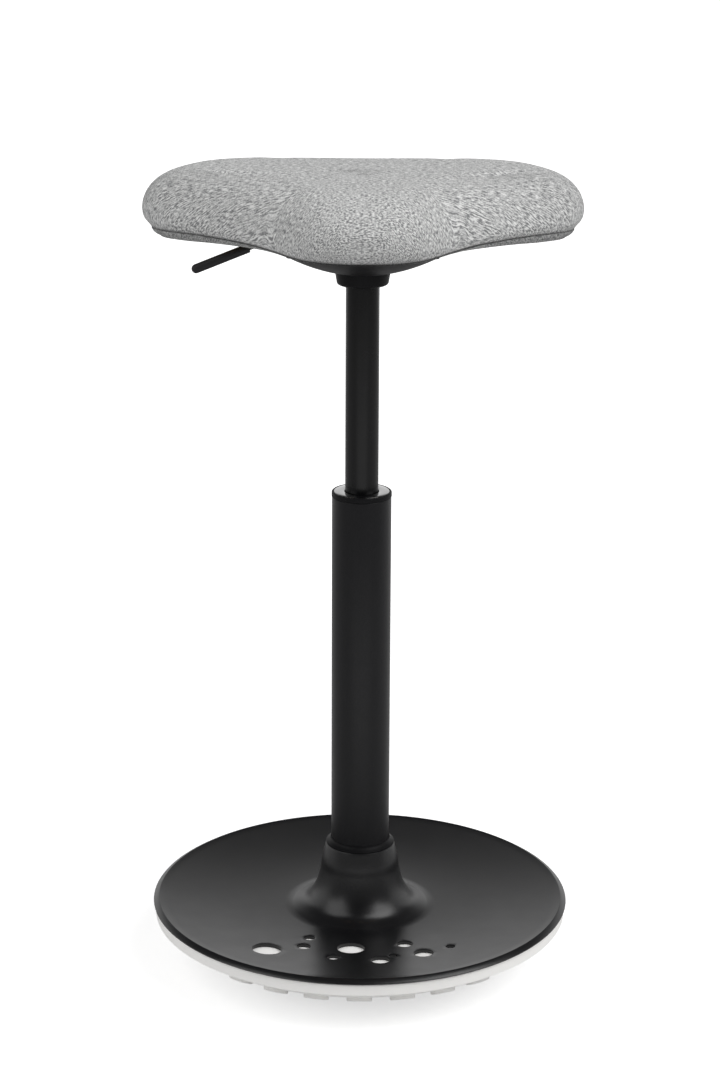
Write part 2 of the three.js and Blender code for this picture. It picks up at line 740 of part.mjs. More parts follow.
function makeBowl() {
  const rimTop = panFoot - seatGap;
  const outer = radiiBetween(collarRadius + seatGap, bowlRadius, bowlSteps);
  const inner = radiiBetween(collarRadius + seatGap, bowlRadius - bowlWall, bowlSteps);
  const shell = revolve([
    ...outer.map((radius) => [radius, bowlHeight(radius)]),
    [bowlRadius, rimTop],
    [bowlRadius - bowlWall, rimTop],
    ...inner.reverse().map((radius) => [radius, bowlHeight(radius) + bowlWall]),
  ], largeFacets);
  const bosses = around(coverScrewCount, coverScrewRadius, bowlTurn, (x, y) =>
    post(coverBossRadius, bowlHeight(coverScrewRadius) + bowlWall / 2, rimTop, tinyFacets, x, y));
  const recessTop = bowlHeight(coverScrewRadius) + coverScrewDepth;
  const holes = around(coverScrewCount, coverScrewRadius, bowlTurn, (x, y) => [
    post(coverScrewHead + seatGap, collarFoot, recessTop, tinyFacets, x, y),
    post(coverScrewShank + seatGap, collarFoot, panFoot + overrun, tinyFacets, x, y),
  ]).flat();
  const slotFoot = collarFoot + leverHeight - leverSlotDrop;
  const slot = new THREE.BoxGeometry(bowlRadius, leverSlotHalfWidth * 2, panFoot - slotFoot);
  slot.translate(-leverSlotStart - bowlRadius / 2, 0, (panFoot + slotFoot) / 2).rotateZ(-leverYaw);
  place('bowl_cover', cut(join(shell, bosses), [...holes, slot]), finishes.plastic);
  placeSet('cover_screw', around(coverScrewCount, coverScrewRadius, bowlTurn, (x, y) =>
    screw(x, y, recessTop - seatGap, coverScrewHead, coverScrewHeadWall, coverScrewShank,
      panFoot + panWall / 2)), finishes.steel);
}

// Seat plan: half of the crease line from nose to back, as shares of its half width and reaches
const creaseShares = [
  [0, -1], [0.125, -0.985], [0.244, -0.893], [0.33, -0.736], [0.415, -0.529], [0.517, -0.322],
  [0.642, -0.132], [0.773, 0.033], [0.892, 0.156], [0.972, 0.254], [1, 0.36], [0.977, 0.574],
  [0.881, 0.803], [0.71, 0.943], [0.455, 0.992], [0, 1],
];

function creaseOutline(facets) {
  const half = creaseShares.map(([across, along]) => new THREE.Vector3(
    across * seatHalfWidth, along * (along < 0 ? seatNoseReach : seatBackReach), 0));
  const mirrored = half.slice(1, -1).reverse().map((point) => new THREE.Vector3(-point.x, point.y, 0));
  const curve = new THREE.CatmullRomCurve3([...half, ...mirrored], true, 'centripetal');
  return curve.getSpacedPoints(facets).slice(0, facets);
}

const outline = creaseOutline(outlineFacets);
const creaseHeight = panFoot - creaseDrop;

// A ring of the pad: the crease line drawn in towards the column by a length, or by a share of the way.
// The band under the crease is tucked further in around the nose.
function padRing(drawIn, height, shareIn = 0, tuckShare = 0) {
  return outline.map((point) => {
    const reach = Math.hypot(point.x, point.y);
    const facingNose = Math.max(0, -point.y / reach);
    const tuck = noseTuck * tuckShare * facingNose ** noseTuckPower;
    const scale = (1 - (drawIn + tuck) / reach) * (1 - shareIn);
    return new THREE.Vector3(point.x * scale, point.y * scale, height);
  });
}

// Rings from a pole at the top to a pole at the bottom, points anticlockwise from above
function loft(top, rings, bottom) {
  const count = rings[0].length;
  const points = [top, ...rings.flat(), bottom];
  const corners = [];
  for (let i = 0; i < count; i += 1) {
    const next = (i + 1) % count;
    corners.push(0, 1 + i, 1 + next);
    for (let k = 0; k < rings.length - 1; k += 1) {
      const upper = 1 + k * count;
      const lower = upper + count;
      corners.push(upper + i, lower + i, lower + next, upper + i, lower + next, upper + next);
    }
    const last = 1 + (rings.length - 1) * count;
    corners.push(points.length - 1, last + next, last + i);
  }
  const geometry = new THREE.BufferGeometry().setFromPoints(points);
  geometry.setIndex(corners);
  return geometry;
}

// Side of the pad from crown to hem: draw-in as a share of the bulge, height of the pad's height
const padSideShares = [
  [3.75, 0.982], [1.7, 0.9], [0.35, 0.77], [-0.6, 0.58], [-1, 0.35], [-0.8, 0.17], [-0.12, 0.04],
];
// The crown inside that: share of the way in to the column, height of the pad's height
const crownShares = [[0.62, 1.012], [0.3, 1]];
// The band under the crease: draw-in as a share of the bulge, drop of the band's height, share of the tuck
const bandShares = [[0.03, 0.14, 0.1], [0.4, 0.75, 0.6], [0.95, 1, 1], [1.45, 0.8, 1]];
const noseTuckPower = 4;
const creaseDepth = 1.4;
const hemDrawIn = 14;

const sideLine = [
  ...padSideShares.map(([across, up]) => [padBulge * across, creaseHeight + padHeight * up, 0]),
  [creaseDepth, creaseHeight, 0],
  ...bandShares.map(([across, down, tuck]) =>
    [padBulge * across, creaseHeight - (hemDrop - creaseDrop) * down, tuck]),
  [hemDrawIn, panFoot - facetRoom * 2, 1],
];
const crownHeight = creaseHeight + padHeight * crownShares[0][1];

// Rings of the pad's skin, or of a surface nested inside it that leaves the crease out
function padSkin(setIn) {
  const line = setIn > 0 ? sideLine.filter((point, i) => i !== padSideShares.length) : sideLine;
  const crown = crownShares.map(([share, up]) =>
    padRing(line[0][0], creaseHeight + padHeight * up - setIn, share));
  const side = line.map(([drawIn, height, tuck], i) => {
    const [d0, h0] = line[Math.max(0, i - 1)];
    const [d1, h1] = line[Math.min(line.length - 1, i + 1)];
    const length = Math.hypot(d1 - d0, h1 - h0);
    return padRing(drawIn - (setIn * (h1 - h0)) / length, height + (setIn * (d1 - d0)) / length, 0, tuck);
  });
  return [...crown, ...side];
}

function makeCover() {
  place('seat_cover', loft(new THREE.Vector3(0, 0, crownHeight),
    [...padSkin(0), ...padSkin(coverWall).reverse()],
    new THREE.Vector3(0, 0, crownHeight - coverWall)), finishes.fabric);
}

function makeFoam() {
  const setIn = coverWall + seatGap * 2;
  const pocket = panInset - seatGap;
  const pocketTop = panFoot + panWall + seatGap;
  const wrap = padSkin(setIn).slice(0, -2);
  place('foam_pad', loft(new THREE.Vector3(0, 0, crownHeight - setIn), [
    ...wrap,
    padRing(pocket, wrap.at(-1)[0].z + facetRoom * 2),
    padRing(pocket, pocketTop),
    padRing(pocket, pocketTop, crownShares[1][0]),
  ], new THREE.Vector3(0, 0, pocketTop)), finishes.foam);
}

function makePan() {
  const edge = padRing(panInset, 0).map((point) => new THREE.Vector2(point.x, point.y));
  const board = new THREE.ExtrudeGeometry(new THREE.Shape(edge), { depth: panWall, bevelEnabled: false });
  board.translate(0, 0, panFoot);
  const holes = [
    ...boltPlaces().map(([x, y]) => [
      post(nutRadius + seatGap, panFoot - overrun, panFoot + panWall + overrun, tinyFacets, x, y),
      post(nutFlangeRadius + seatGap, panFoot + panWall - nutFlangeWall - seatGap * 2,
        panFoot + panWall + overrun, smallFacets, x, y),
    ]).flat(),
    ...around(coverScrewCount, coverScrewRadius, bowlTurn, (x, y) =>
      post(coverScrewShank + seatGap, panFoot - overrun, panFoot + panWall / 2 + seatGap, tinyFacets, x, y)),
  ];
  place('seat_pan', cut(board, holes), finishes.plywood);
}

// Release lever in its bracket, turned as one group about the column
const barrelRadius = 4.6;
const barrelHalfWidth = 4;
const earWall = 2;
const earHeight = 15;
const earHalfLength = 6;
const pivotRadius = 1.5;
const pivotHeadRadius = 3;
const pivotHeadWall = 1;
const leverOverPin = 4;
const bendLength = 12;
const sleeveStart = 94;
const sleeveRadius = 3.9;
// Rounded end of the sleeve: shares of its radius for radius and for the distance from the tip
const sleeveTipShares = [[1, 0.9], [0.8, 0.3], [0.4, 0]];
const bendSteps = 12;

function makeLever() {
  const group = new THREE.Group();
  group.rotation.z = -leverYaw;
  stool.add(group);
  const height = collarFoot + leverHeight;
  const along = (offset, drop = 0) => new THREE.Vector3(-offset, 0, height - drop);
  const dropAt = (offset) => (offset - leverBendOffset) * Math.tan(leverFall);
  const bendIn = leverBendOffset - bendLength / 2;
  const bendOut = leverBendOffset + bendLength / 2;
  const path = new THREE.CurvePath();
  path.add(new THREE.LineCurve3(along(-leverOverPin), along(bendIn)));
  path.add(new THREE.QuadraticBezierCurve3(
    along(bendIn), along(leverBendOffset), along(bendOut, dropAt(bendOut))));
  path.add(new THREE.LineCurve3(along(bendOut, dropAt(bendOut)), along(leverReach, dropAt(leverReach))));
  const section = new THREE.Shape().absarc(0, 0, leverRodRadius, 0, Math.PI * 2);
  const rod = new THREE.ExtrudeGeometry(section, {
    extrudePath: path, steps: bendSteps, curveSegments: tinyFacets / 2, bevelEnabled: false });
  const barrel = new THREE.CylinderGeometry(barrelRadius, barrelRadius, barrelHalfWidth * 2, smallFacets)
    .translate(-leverPivotOffset, 0, height);
  const bore = new THREE.CylinderGeometry(pivotRadius + seatGap, pivotRadius + seatGap,
    barrelHalfWidth * 2 + overrun, tinyFacets).translate(-leverPivotOffset, 0, height);
  place('release_lever', cut(join(rod, [barrel]), [bore]), finishes.satin, group);

  const earY = barrelHalfWidth + seatGap * 2;
  const earFoot = plateFoot + plateWall + seatGap;
  const ears = [-1, 1].map((side) => new THREE.BoxGeometry(earHalfLength * 2, earWall, earHeight)
    .translate(-leverPivotOffset, side * (earY + earWall / 2), earFoot + earHeight / 2));
  const web = new THREE.BoxGeometry(earHalfLength * 2, (earY + earWall) * 2, earWall)
    .translate(-leverPivotOffset, 0, earFoot + earWall / 2);
  const pinHole = new THREE.CylinderGeometry(pivotRadius + seatGap, pivotRadius + seatGap,
    (earY + earWall) * 2 + overrun, tinyFacets).translate(-leverPivotOffset, 0, height);
  place('lever_bracket', cut(join(web, ears), [pinHole]), finishes.powder, group);

  const outside = earY + earWall + seatGap;
  const heads = [-1, 1].map((side) =>
    new THREE.CylinderGeometry(pivotHeadRadius, pivotHeadRadius, pivotHeadWall, tinyFacets)
      .translate(-leverPivotOffset, side * (outside + pivotHeadWall / 2), height));
  const pivot = new THREE.CylinderGeometry(pivotRadius, pivotRadius, outside * 2, tinyFacets)
    .translate(-leverPivotOffset, 0, height);
  place('pivot_pin', join(pivot, heads), finishes.steel, group);

  const slope = 1 / Math.cos(leverFall);
  const sleeveLength = (leverReach - sleeveStart) * slope + sleeveRadius;
  const sleeve = revolve([
    [leverRodRadius + seatGap, 0],
    [sleeveRadius, 0],
    ...sleeveTipShares.map(([out, back]) => [sleeveRadius * out, sleeveLength - sleeveRadius * back]),
    [0, sleeveLength],
    [0, sleeveLength - sleeveRadius + seatGap],
    [leverRodRadius + seatGap, sleeveLength - sleeveRadius + seatGap],
  ], smallFacets);
  sleeve.rotateY(-Math.PI / 2 - leverFall).translate(-sleeveStart, 0, height - dropAt(sleeveStart));
  place('lever_sleeve', sleeve, finishes.rubber, group);
}

makeDish();
makeTray();
makeSole();
makeBallast();
makeBaseScrews();
makeFootRing();
makeTube();
makeTubeTop();
makeBearing();
makePiston();
makeCylinder();
makeHub();
makePlate();
makeSeatFixings();
makeBowl();
makePan();
makeFoam();
makeCover();
makeLever();

export default stool;
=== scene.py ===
# Wobble stool: a saddle seat on a gas-lift column that stands in a weighted rocking base.
# Metres, +Z up, nose of the seat towards -Y, the origin on the floor under the column.

import json
import math

import bpy
from bpy.props import FloatProperty, FloatVectorProperty, IntProperty, PointerProperty
from mathutils import Matrix, Vector, noise


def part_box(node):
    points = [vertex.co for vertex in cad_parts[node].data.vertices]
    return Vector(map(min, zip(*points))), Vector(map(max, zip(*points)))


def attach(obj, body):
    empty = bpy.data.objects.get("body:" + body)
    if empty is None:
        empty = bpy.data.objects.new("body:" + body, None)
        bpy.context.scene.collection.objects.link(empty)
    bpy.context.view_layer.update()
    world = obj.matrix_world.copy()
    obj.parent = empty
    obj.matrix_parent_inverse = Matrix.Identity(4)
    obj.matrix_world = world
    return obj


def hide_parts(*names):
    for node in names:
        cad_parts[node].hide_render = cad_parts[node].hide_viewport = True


bl_info = {
    "name": "Wobble Stool",
    "version": (1, 0, 0),
    "blender": (4, 5, 0),
    "location": "3D View > Sidebar > Stool",
    "description": "Builds the visible pieces, finishes and studio of a wobble stool",
    "category": "Object",
}

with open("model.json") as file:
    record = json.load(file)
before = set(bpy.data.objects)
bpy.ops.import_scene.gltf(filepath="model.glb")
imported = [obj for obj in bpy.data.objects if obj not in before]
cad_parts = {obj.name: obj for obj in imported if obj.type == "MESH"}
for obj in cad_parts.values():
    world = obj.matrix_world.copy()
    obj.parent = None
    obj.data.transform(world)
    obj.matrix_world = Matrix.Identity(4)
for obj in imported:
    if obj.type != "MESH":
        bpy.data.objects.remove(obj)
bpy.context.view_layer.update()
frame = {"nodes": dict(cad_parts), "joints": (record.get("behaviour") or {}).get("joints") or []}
nodes = frame["nodes"]
joints = {joint["name"]: joint for joint in frame["joints"]}

MM = 0.001
# Clearance between two pieces that nest without a press fit
GAP = 0.3 * MM
MERGE_DISTANCE = MM / 200
TURN_STEPS = 128
COLUMN_STEPS = 96


def foot(node):
    """Lowest height of a CAD node."""
    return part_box(node)[0].z


def top(node):
    """Highest height of a CAD node."""
    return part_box(node)[1].z


def reach(node):
    """Largest radius of a turned CAD node, read along X."""
    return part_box(node)[1].x


def linear(hex_code):
    """An sRGB hex colour as linear RGBA."""
    channels = [int(hex_code[i:i + 2], 16) / 255 for i in (1, 3, 5)]
    curve = [c / 12.92 if c <= 0.04045 else ((c + 0.055) / 1.055) ** 2.4 for c in channels]
    return (*curve, 1.0)


def length_property(name, description, default):
    return FloatProperty(name=name, description=description, default=default, unit="LENGTH", precision=4)


def number_property(name, description, default):
    return FloatProperty(name=name, description=description, default=default)


def colour_property(name, description, hex_code):
    return FloatVectorProperty(
        name=name, description=description, default=linear(hex_code), subtype="COLOR", size=4, min=0, max=1)


class StoolBaseSettings(bpy.types.PropertyGroup):
    """Sizes and colours of the rocking base."""

    radius: length_property("Base radius", "Outer radius of the dish", reach("base_dish"))
    edge_height: length_property("Edge height", "Underside of the dish's rim", top("rocker_sole") + GAP)
    lip_radius: length_property("Lip radius", "Inner edge of the rim", 175.5 * MM)
    lip_height: length_property("Lip height", "Top of the rim", 55.6 * MM)
    wall: length_property("Dish wall", "Wall of the dish moulding", 3 * MM)
    floor_radius: length_property("Floor radius", "Where the trumpet runs out into the dish", 60 * MM)
    floor_height: length_property("Floor height", "Top of the dish at its lowest ring", 45 * MM)
    trumpet_radius: length_property("Trumpet radius", "Mouth of the trumpet round the column", 29.5 * MM)
    roll_radius: length_property("Rolling radius", "Radius that the sole rolls on", 250 * MM)
    flat_radius: length_property("Flat radius", "Radius of the sole's level middle", 45 * MM)
    nub_radius: length_property("Nub radius", "Radius of a nub on the sole", 10.5 * MM)
    nub_height: length_property("Nub height", "How far a nub stands out", 3 * MM)
    nub_pitch: length_property("Nub pitch", "Space from nub to nub round a ring", 37 * MM)
    dish_colour: colour_property("Dish colour", "Moulded black of the dish", "#0e0e10")
    sole_colour: colour_property("Sole colour", "Off-white of the sole and tray", "#faf9f7")


class StoolColumnSettings(bpy.types.PropertyGroup):
    """Sizes and colours of the column and its collar."""

    tube_wall: length_property("Tube wall", "Wall of the stand tube", 2 * MM)
    tube_taper_height: length_property("Taper height", "Where the tube's tapered foot ends", 98 * MM)
    edge_round: length_property("Edge round", "Rounding of the turned edges", 0.5 * MM)
    powder_colour: colour_property("Powder colour", "Powder coat of the stand tube", "#131315")
    satin_colour: colour_property("Satin colour", "Satin coat of the gas cylinder", "#0b0b0c")
    plastic_colour: colour_property("Plastic colour", "Moulded caps, collar and bowl", "#0d0d0f")


class StoolSeatSettings(bpy.types.PropertyGroup):
    """Sizes and colours of the saddle seat."""

    half_width: length_property("Half width", "Half the width of the crease line", 176 * MM)
    nose_reach: length_property("Nose reach", "From the column to the nose", 121 * MM)
    back_reach: length_property("Back reach", "From the column to the back", 114 * MM)
    bulge: length_property("Bulge", "How far the side stands out past the crease", 8 * MM)
    pad_height: length_property("Pad height", "From the crease to the crown's edge", 50 * MM)
    crease_drop: length_property("Crease drop", "Crease below the pan's underside", 5 * MM)
    band_height: length_property("Band height", "Band under the crease, out on the wings", 6 * MM)
    nose_tuck: length_property("Nose tuck", "How far the band is drawn in round the nose", 9 * MM)
    swell: length_property("Swell", "Most that a point of the cover may be blown out", 2.2 * MM)
    outline_steps: IntProperty(name="Outline steps", description="Points round the pad", default=168)
    yarn_light: colour_property("Light yarn", "Paler yarn of the melange", "#dededd")
    yarn_dark: colour_property("Dark yarn", "Darker yarn of the melange", "#7a7b7c")


class StoolStageSettings(bpy.types.PropertyGroup):
    """Camera, light and ground of the picture."""

    azimuth: number_property("Azimuth", "Camera's turn to the left", 0.0)
    elevation: number_property("Elevation", "Camera's height above level, in degrees", 16.9)
    roll: number_property("Roll", "Camera's roll, in degrees", 0.28)
    distance: length_property("Distance", "Camera to the column's axis", 2.359)
    aim_height: length_property("Aim height", "Height of the picture's middle on the axis", 0.3767)
    aim_aside: length_property("Aim aside", "Picture's middle to the left of the axis", 1.26 * MM)
    lens: number_property("Lens", "Focal length for a 36 mm long side", 93.33)
    key_power: number_property("Key power", "Power of the key light in watts", 58.0)
    fill_power: number_property("Fill power", "Power of the fill light in watts", 28.0)
    sky_level: number_property("Sky level", "Strength of the light from in front", 0.33)
    back_level: number_property("Back level", "Strength of the light off the backdrop", 0.37)
    floor_glow: number_property("Floor glow", "White added to the floor where it is seen", 0.6)
    ground_colour: colour_property("Ground colour", "Studio floor", "#dcdcdc")


# Modelling helpers


def clear_selection():
    """Object mode with nothing selected."""
    if bpy.context.object and bpy.context.object.mode != "OBJECT":
        bpy.ops.object.mode_set(mode="OBJECT")
    bpy.ops.object.select_all(action="DESELECT")


def make_active(piece):
    clear_selection()
    piece.select_set(True)
    bpy.context.view_layer.objects.active = piece


def named(name):
    """Names the new active object and its mesh, and puts its place in its mesh."""
    piece = bpy.context.object
    piece.name = name
    piece.data.name = name
    bpy.ops.object.transform_apply(location=True, rotation=True, scale=True)
    return piece


def modify(piece, kind, **settings):
    """Adds one modifier with its settings and applies it."""
    make_active(piece)
    modifier = piece.modifiers.new(kind, kind)
    for key, value in settings.items():
        setattr(modifier, key, value)
    bpy.ops.object.modifier_apply(modifier=modifier.name)


def round_edges(piece, width, segments=3, angle=32):
    modify(piece, "BEVEL", width=width, segments=segments, limit_method="ANGLE",
           angle_limit=math.radians(angle), harden_normals=False)


def shade(piece, angle=38):
    make_active(piece)
    bpy.ops.object.shade_smooth_by_angle(angle=math.radians(angle))


def combine(piece, tool, operation):
    """Joins or cuts with a tool that isn't kept."""
    modify(piece, "BOOLEAN", object=tool, operation=operation, solver="EXACT")
    bpy.data.objects.remove(tool)


def joined(pieces, name):
    """Several objects as one."""
    clear_selection()
    for piece in pieces:
        piece.select_set(True)
    bpy.context.view_layer.objects.active = pieces[0]
    if len(pieces) > 1:
        bpy.ops.object.join()
    return named(name)


def place_mesh(piece, matrix):
    piece.data.transform(matrix)
    piece.data.update()
    return piece


def posts(places, radius, low, high, steps=32):
    """Upright cylinders between two heights, as one object."""
    made = []
    for x, y in places:
        clear_selection()
        bpy.ops.mesh.primitive_cylinder_add(
            vertices=steps, radius=radius, depth=high - low, location=(x, y, (low + high) / 2))
        made.append(bpy.context.object)
    return joined(made, "posts")


def around(count, radius, first_angle=0.0):
    turns = [first_angle + 2 * math.pi * i / count for i in range(count)]
    return [(radius * math.cos(turn), radius * math.sin(turn)) for turn in turns]


def between(low, high, steps):
    return [low + (high - low) * i / steps for i in range(steps + 1)]


def through(points, steps, closed=False):
    """A smooth centripetal curve through the points, with so many steps from point to point."""
    points = [Vector(point) for point in points]
    count = len(points)
    ends = [points[0] * 2 - points[1], points[-1] * 2 - points[-2]]
    last = count if closed else count - 1
    line = []
    for i in range(last):
        p1, p2 = points[i], points[(i + 1) % count]
        p0 = points[i - 1] if closed or i else ends[0]
        p3 = points[(i + 2) % count] if closed or i + 2 < count else ends[1]
        t1 = max((p1 - p0).length, 1e-9) ** 0.5
        t2 = t1 + max((p2 - p1).length, 1e-9) ** 0.5
        t3 = t2 + max((p3 - p2).length, 1e-9) ** 0.5
        for k in range(steps):
            t = t1 + (t2 - t1) * k / steps
            a1 = p0.lerp(p1, t / t1)
            a2 = p1.lerp(p2, (t - t1) / (t2 - t1))
            a3 = p2.lerp(p3, (t - t2) / (t3 - t2))
            b1 = a1.lerp(a2, t / t2)
            b2 = a2.lerp(a3, (t - t1) / (t3 - t1))
            line.append(b1.lerp(b2, (t - t1) / (t2 - t1)))
    if not closed:
        line.append(points[-1])
    return line


def set_off(line, distance):
    """The same line moved square to itself, to its right."""
    moved = []
    for i, (x, z) in enumerate(line):
        x0, z0 = line[max(0, i - 1)]
        x1, z1 = line[min(len(line) - 1, i + 1)]
        span = math.hypot(x1 - x0, z1 - z0)
        moved.append((x + distance * (z1 - z0) / span, z - distance * (x1 - x0) / span))
    return moved


def turned(name, profile, steps=TURN_STEPS):
    """Draws a closed profile of (radius, height) points from one vertex and spins it about the column."""
    clear_selection()
    bpy.ops.mesh.primitive_plane_add(size=MM)
    piece = bpy.context.object
    bpy.ops.object.mode_set(mode="EDIT")
    bpy.ops.mesh.select_all(action="SELECT")
    bpy.ops.mesh.merge(type="CENTER")
    bpy.ops.transform.translate(value=(profile[0][0], 0, profile[0][1]))
    for (x0, z0), (x1, z1) in zip(profile, profile[1:] + profile[:1]):
        bpy.ops.mesh.extrude_vertices_move(TRANSFORM_OT_translate={"value": (x1 - x0, 0, z1 - z0)})
    bpy.ops.mesh.select_all(action="SELECT")
    bpy.ops.mesh.spin(steps=steps, angle=2 * math.pi, center=(0, 0, 0), axis=(0, 0, 1))
    bpy.ops.mesh.select_all(action="SELECT")
    bpy.ops.mesh.remove_doubles(threshold=MERGE_DISTANCE)
    bpy.ops.mesh.delete_loose(use_verts=True, use_edges=True, use_faces=False)
    bpy.ops.mesh.select_all(action="SELECT")
    bpy.ops.mesh.normals_make_consistent(inside=False)
    bpy.ops.object.mode_set(mode="OBJECT")
    return named(name)


def new_object(name, data):
    """An object of the scene that holds the data."""
    made = bpy.data.objects.new(name, data)
    bpy.context.scene.collection.objects.link(made)
    return made


def finish_piece(piece, material, body, slot, *replaced):
    """Gives a piece its finish and its body, and hides the CAD nodes that it stands for."""
    piece.data.materials.clear()
    piece.data.materials.append(material)
    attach(piece, body)
    if replaced:
        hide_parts(*replaced)


# Materials


def add(tree, kind, inputs=None, output=None, **settings):
    """Adds a node with its settings, sets or links its inputs, and returns the output named or its first."""
    node = tree.nodes.new(kind)
    for key, value in settings.items():
        setattr(node, key, value)
    for socket, value in (inputs or {}).items():
        if isinstance(value, bpy.types.NodeSocket):
            tree.links.new(value, node.inputs[socket])
        else:
            node.inputs[socket].default_value = value
    if output:
        return node.outputs[output]
    return next((socket for socket in node.outputs if socket.enabled), None)


def new_material(name):
    """An empty material, its node tree and its Object coordinates."""
    material = bpy.data.materials.new(name)
    material.use_nodes = True
    material.node_tree.nodes.clear()
    return material, material.node_tree, add(material.node_tree, "ShaderNodeTexCoord", output="Object")


def darker(colour, share):
    return (*[channel * share for channel in colour[:3]], 1.0)


def per(size_mm):
    """The scale that makes a pattern's repeat this many millimetres."""
    return 1 / (size_mm * MM)


def surface(tree, pattern, tones, looks, relief=None, depth_mm=0.0, strength=1.0):
    """Ends a material: two tones that follow a pattern, over a relief of its real depth. A roughness given
    as a pattern with two values runs from the one to the other."""
    if isinstance(looks["Roughness"], tuple):
        gloss, low, high = looks["Roughness"]
        looks["Roughness"] = add(tree, "ShaderNodeMapRange", {"Value": gloss, "To Min": low, "To Max": high})
    looks["Base Color"] = add(tree, "ShaderNodeMix", {
        "Factor": pattern, "A": tones[0], "B": tones[1]}, data_type="RGBA")
    if relief is not None:
        looks["Normal"] = add(tree, "ShaderNodeBump", {
            "Height": relief, "Strength": strength, "Distance": depth_mm * MM})
    shader = add(tree, "ShaderNodeBsdfPrincipled", looks)
    add(tree, "ShaderNodeOutputMaterial", {"Surface": shader})


def moulded_plastic(name, colour, gloss, grain_mm, depth_mm, specular=0.5, coat=0.0):
    """Injection-moulded thermoplastic: an even colour under a fine spark-eroded grain, which softens the
    highlights, with broad flow marks of about 22 mm in colour and gloss."""
    material, tree, place = new_material(name)
    flow = add(tree, "ShaderNodeTexNoise", {"Vector": place, "Scale": per(22), "Detail": 3.0})
    pits = add(tree, "ShaderNodeTexNoise", {"Vector": place, "Scale": per(grain_mm), "Detail": 1.0})
    surface(tree, flow, (darker(colour, 0.86), colour), {
        "Roughness": (flow, *gloss), "IOR": 1.5, "Specular IOR Level": specular,
        "Coat Weight": coat, "Coat Roughness": 0.05, "Coat IOR": 1.8}, pits, depth_mm)
    return material


def moulded_elastomer(colour):
    """Moulded thermoplastic rubber: off-white and matt, a touch darker where it has picked up floor dust."""
    material, tree, place = new_material("moulded off-white elastomer")
    height = add(tree, "ShaderNodeSeparateXYZ", {"Vector": place}, "Z")
    dust = add(tree, "ShaderNodeMapRange", {
        "Value": height, "From Min": 0.0, "From Max": 12 * MM, "To Min": 0.6, "To Max": 0.0})
    cloud = add(tree, "ShaderNodeTexNoise", {"Vector": place, "Scale": per(30), "Detail": 4.0})
    skin = add(tree, "ShaderNodeTexNoise", {"Vector": place, "Scale": per(0.8), "Detail": 1.0})
    worn = add(tree, "ShaderNodeMath", {0: dust, 1: cloud}, operation="MULTIPLY")
    surface(tree, worn, (colour, darker(colour, 0.92)), {"Roughness": 0.6, "IOR": 1.48}, skin, 0.05)
    return material


def powder_coat(colour):
    """Powder-coated steel: melted grains about 0.7 mm apart leave a fine orange peel that breaks up light."""
    material, tree, place = new_material("powder-coated steel")
    peel = add(tree, "ShaderNodeTexVoronoi", {"Vector": place, "Scale": per(0.7)}, feature="SMOOTH_F1")
    bake = add(tree, "ShaderNodeTexNoise", {"Vector": place, "Scale": per(9), "Detail": 2.0})
    surface(tree, peel, (darker(colour, 0.8), darker(colour, 1.35)), {
        "Roughness": (bake, 0.28, 0.38), "IOR": 1.5, "Specular IOR Level": 0.24}, peel, 0.07, strength=0.8)
    return material


def satin_steel(colour):
    """Ground steel tube with a satin black coat: grinding leaves faint rings 0.3 mm apart under the coat."""
    material, tree, place = new_material("satin-coated ground steel")
    stretched = add(tree, "ShaderNodeMapping", {"Vector": place, "Scale": (0.06, 0.06, 1.0)})
    rings = add(tree, "ShaderNodeTexNoise", {"Vector": stretched, "Scale": per(0.3), "Detail": 2.0})
    handling = add(tree, "ShaderNodeTexNoise", {"Vector": place, "Scale": per(14), "Detail": 2.0})
    surface(tree, rings, (darker(colour, 0.85), darker(colour, 1.15)), {
        "Roughness": (handling, 0.24, 0.34), "IOR": 1.5, "Specular IOR Level": 0.22},
        rings, 0.01, strength=0.6)
    return material


def bare_metal(name, hex_code, bloom_mm, gloss, depth_mm):
    """Plated or ground steel: a full metal whose crystal bloom shows as soft blotches in the gloss."""
    material, tree, place = new_material(name)
    colour = linear(hex_code)
    bloom = add(tree, "ShaderNodeTexNoise", {"Vector": place, "Scale": per(bloom_mm), "Detail": 3.0})
    fine = add(tree, "ShaderNodeTexNoise", {"Vector": place, "Scale": per(bloom_mm / 4), "Detail": 1.0})
    surface(tree, bloom, (darker(colour, 0.85), colour), {
        "Roughness": (bloom, *gloss), "Metallic": 1.0}, fine, depth_mm)
    return material


def sand_cast_iron():
    """Sand-cast iron: grey-brown, pitted by sand grains of about a millimetre."""
    material, tree, place = new_material("sand-cast iron")
    sand = add(tree, "ShaderNodeTexNoise", {"Vector": place, "Scale": per(1.1), "Detail": 4.0})
    surface(tree, sand, (linear("#2b2927"), linear("#5a5550")), {
        "Roughness": 0.75, "Metallic": 1.0}, sand, 0.3)
    return material


def birch_plywood():
    """Birch plywood: pale face veneer whose grain runs along X in streaks about 2 mm wide."""
    material, tree, place = new_material("birch plywood")
    along = add(tree, "ShaderNodeMapping", {"Vector": place, "Scale": (0.08, 1.0, 1.0)})
    veins = add(tree, "ShaderNodeTexNoise", {
        "Vector": along, "Scale": per(2), "Detail": 6.0, "Roughness": 0.6})
    surface(tree, veins, (linear("#b98f5f"), linear("#e0c294")), {"Roughness": 0.58, "IOR": 1.5}, veins, 0.05)
    return material


def cured_rubber():
    """Cured black rubber: matt, with a faint bloom in patches of a few millimetres."""
    material, tree, place = new_material("cured black rubber")
    bloom = add(tree, "ShaderNodeTexNoise", {"Vector": place, "Scale": per(5), "Detail": 4.0})
    skin = add(tree, "ShaderNodeTexNoise", {"Vector": place, "Scale": per(0.6), "Detail": 1.0})
    surface(tree, bloom, (linear("#121213"), linear("#1e1e20")), {
        "Roughness": (bloom, 0.5, 0.68), "IOR": 1.52, "Specular IOR Level": 0.3}, skin, 0.04)
    return material


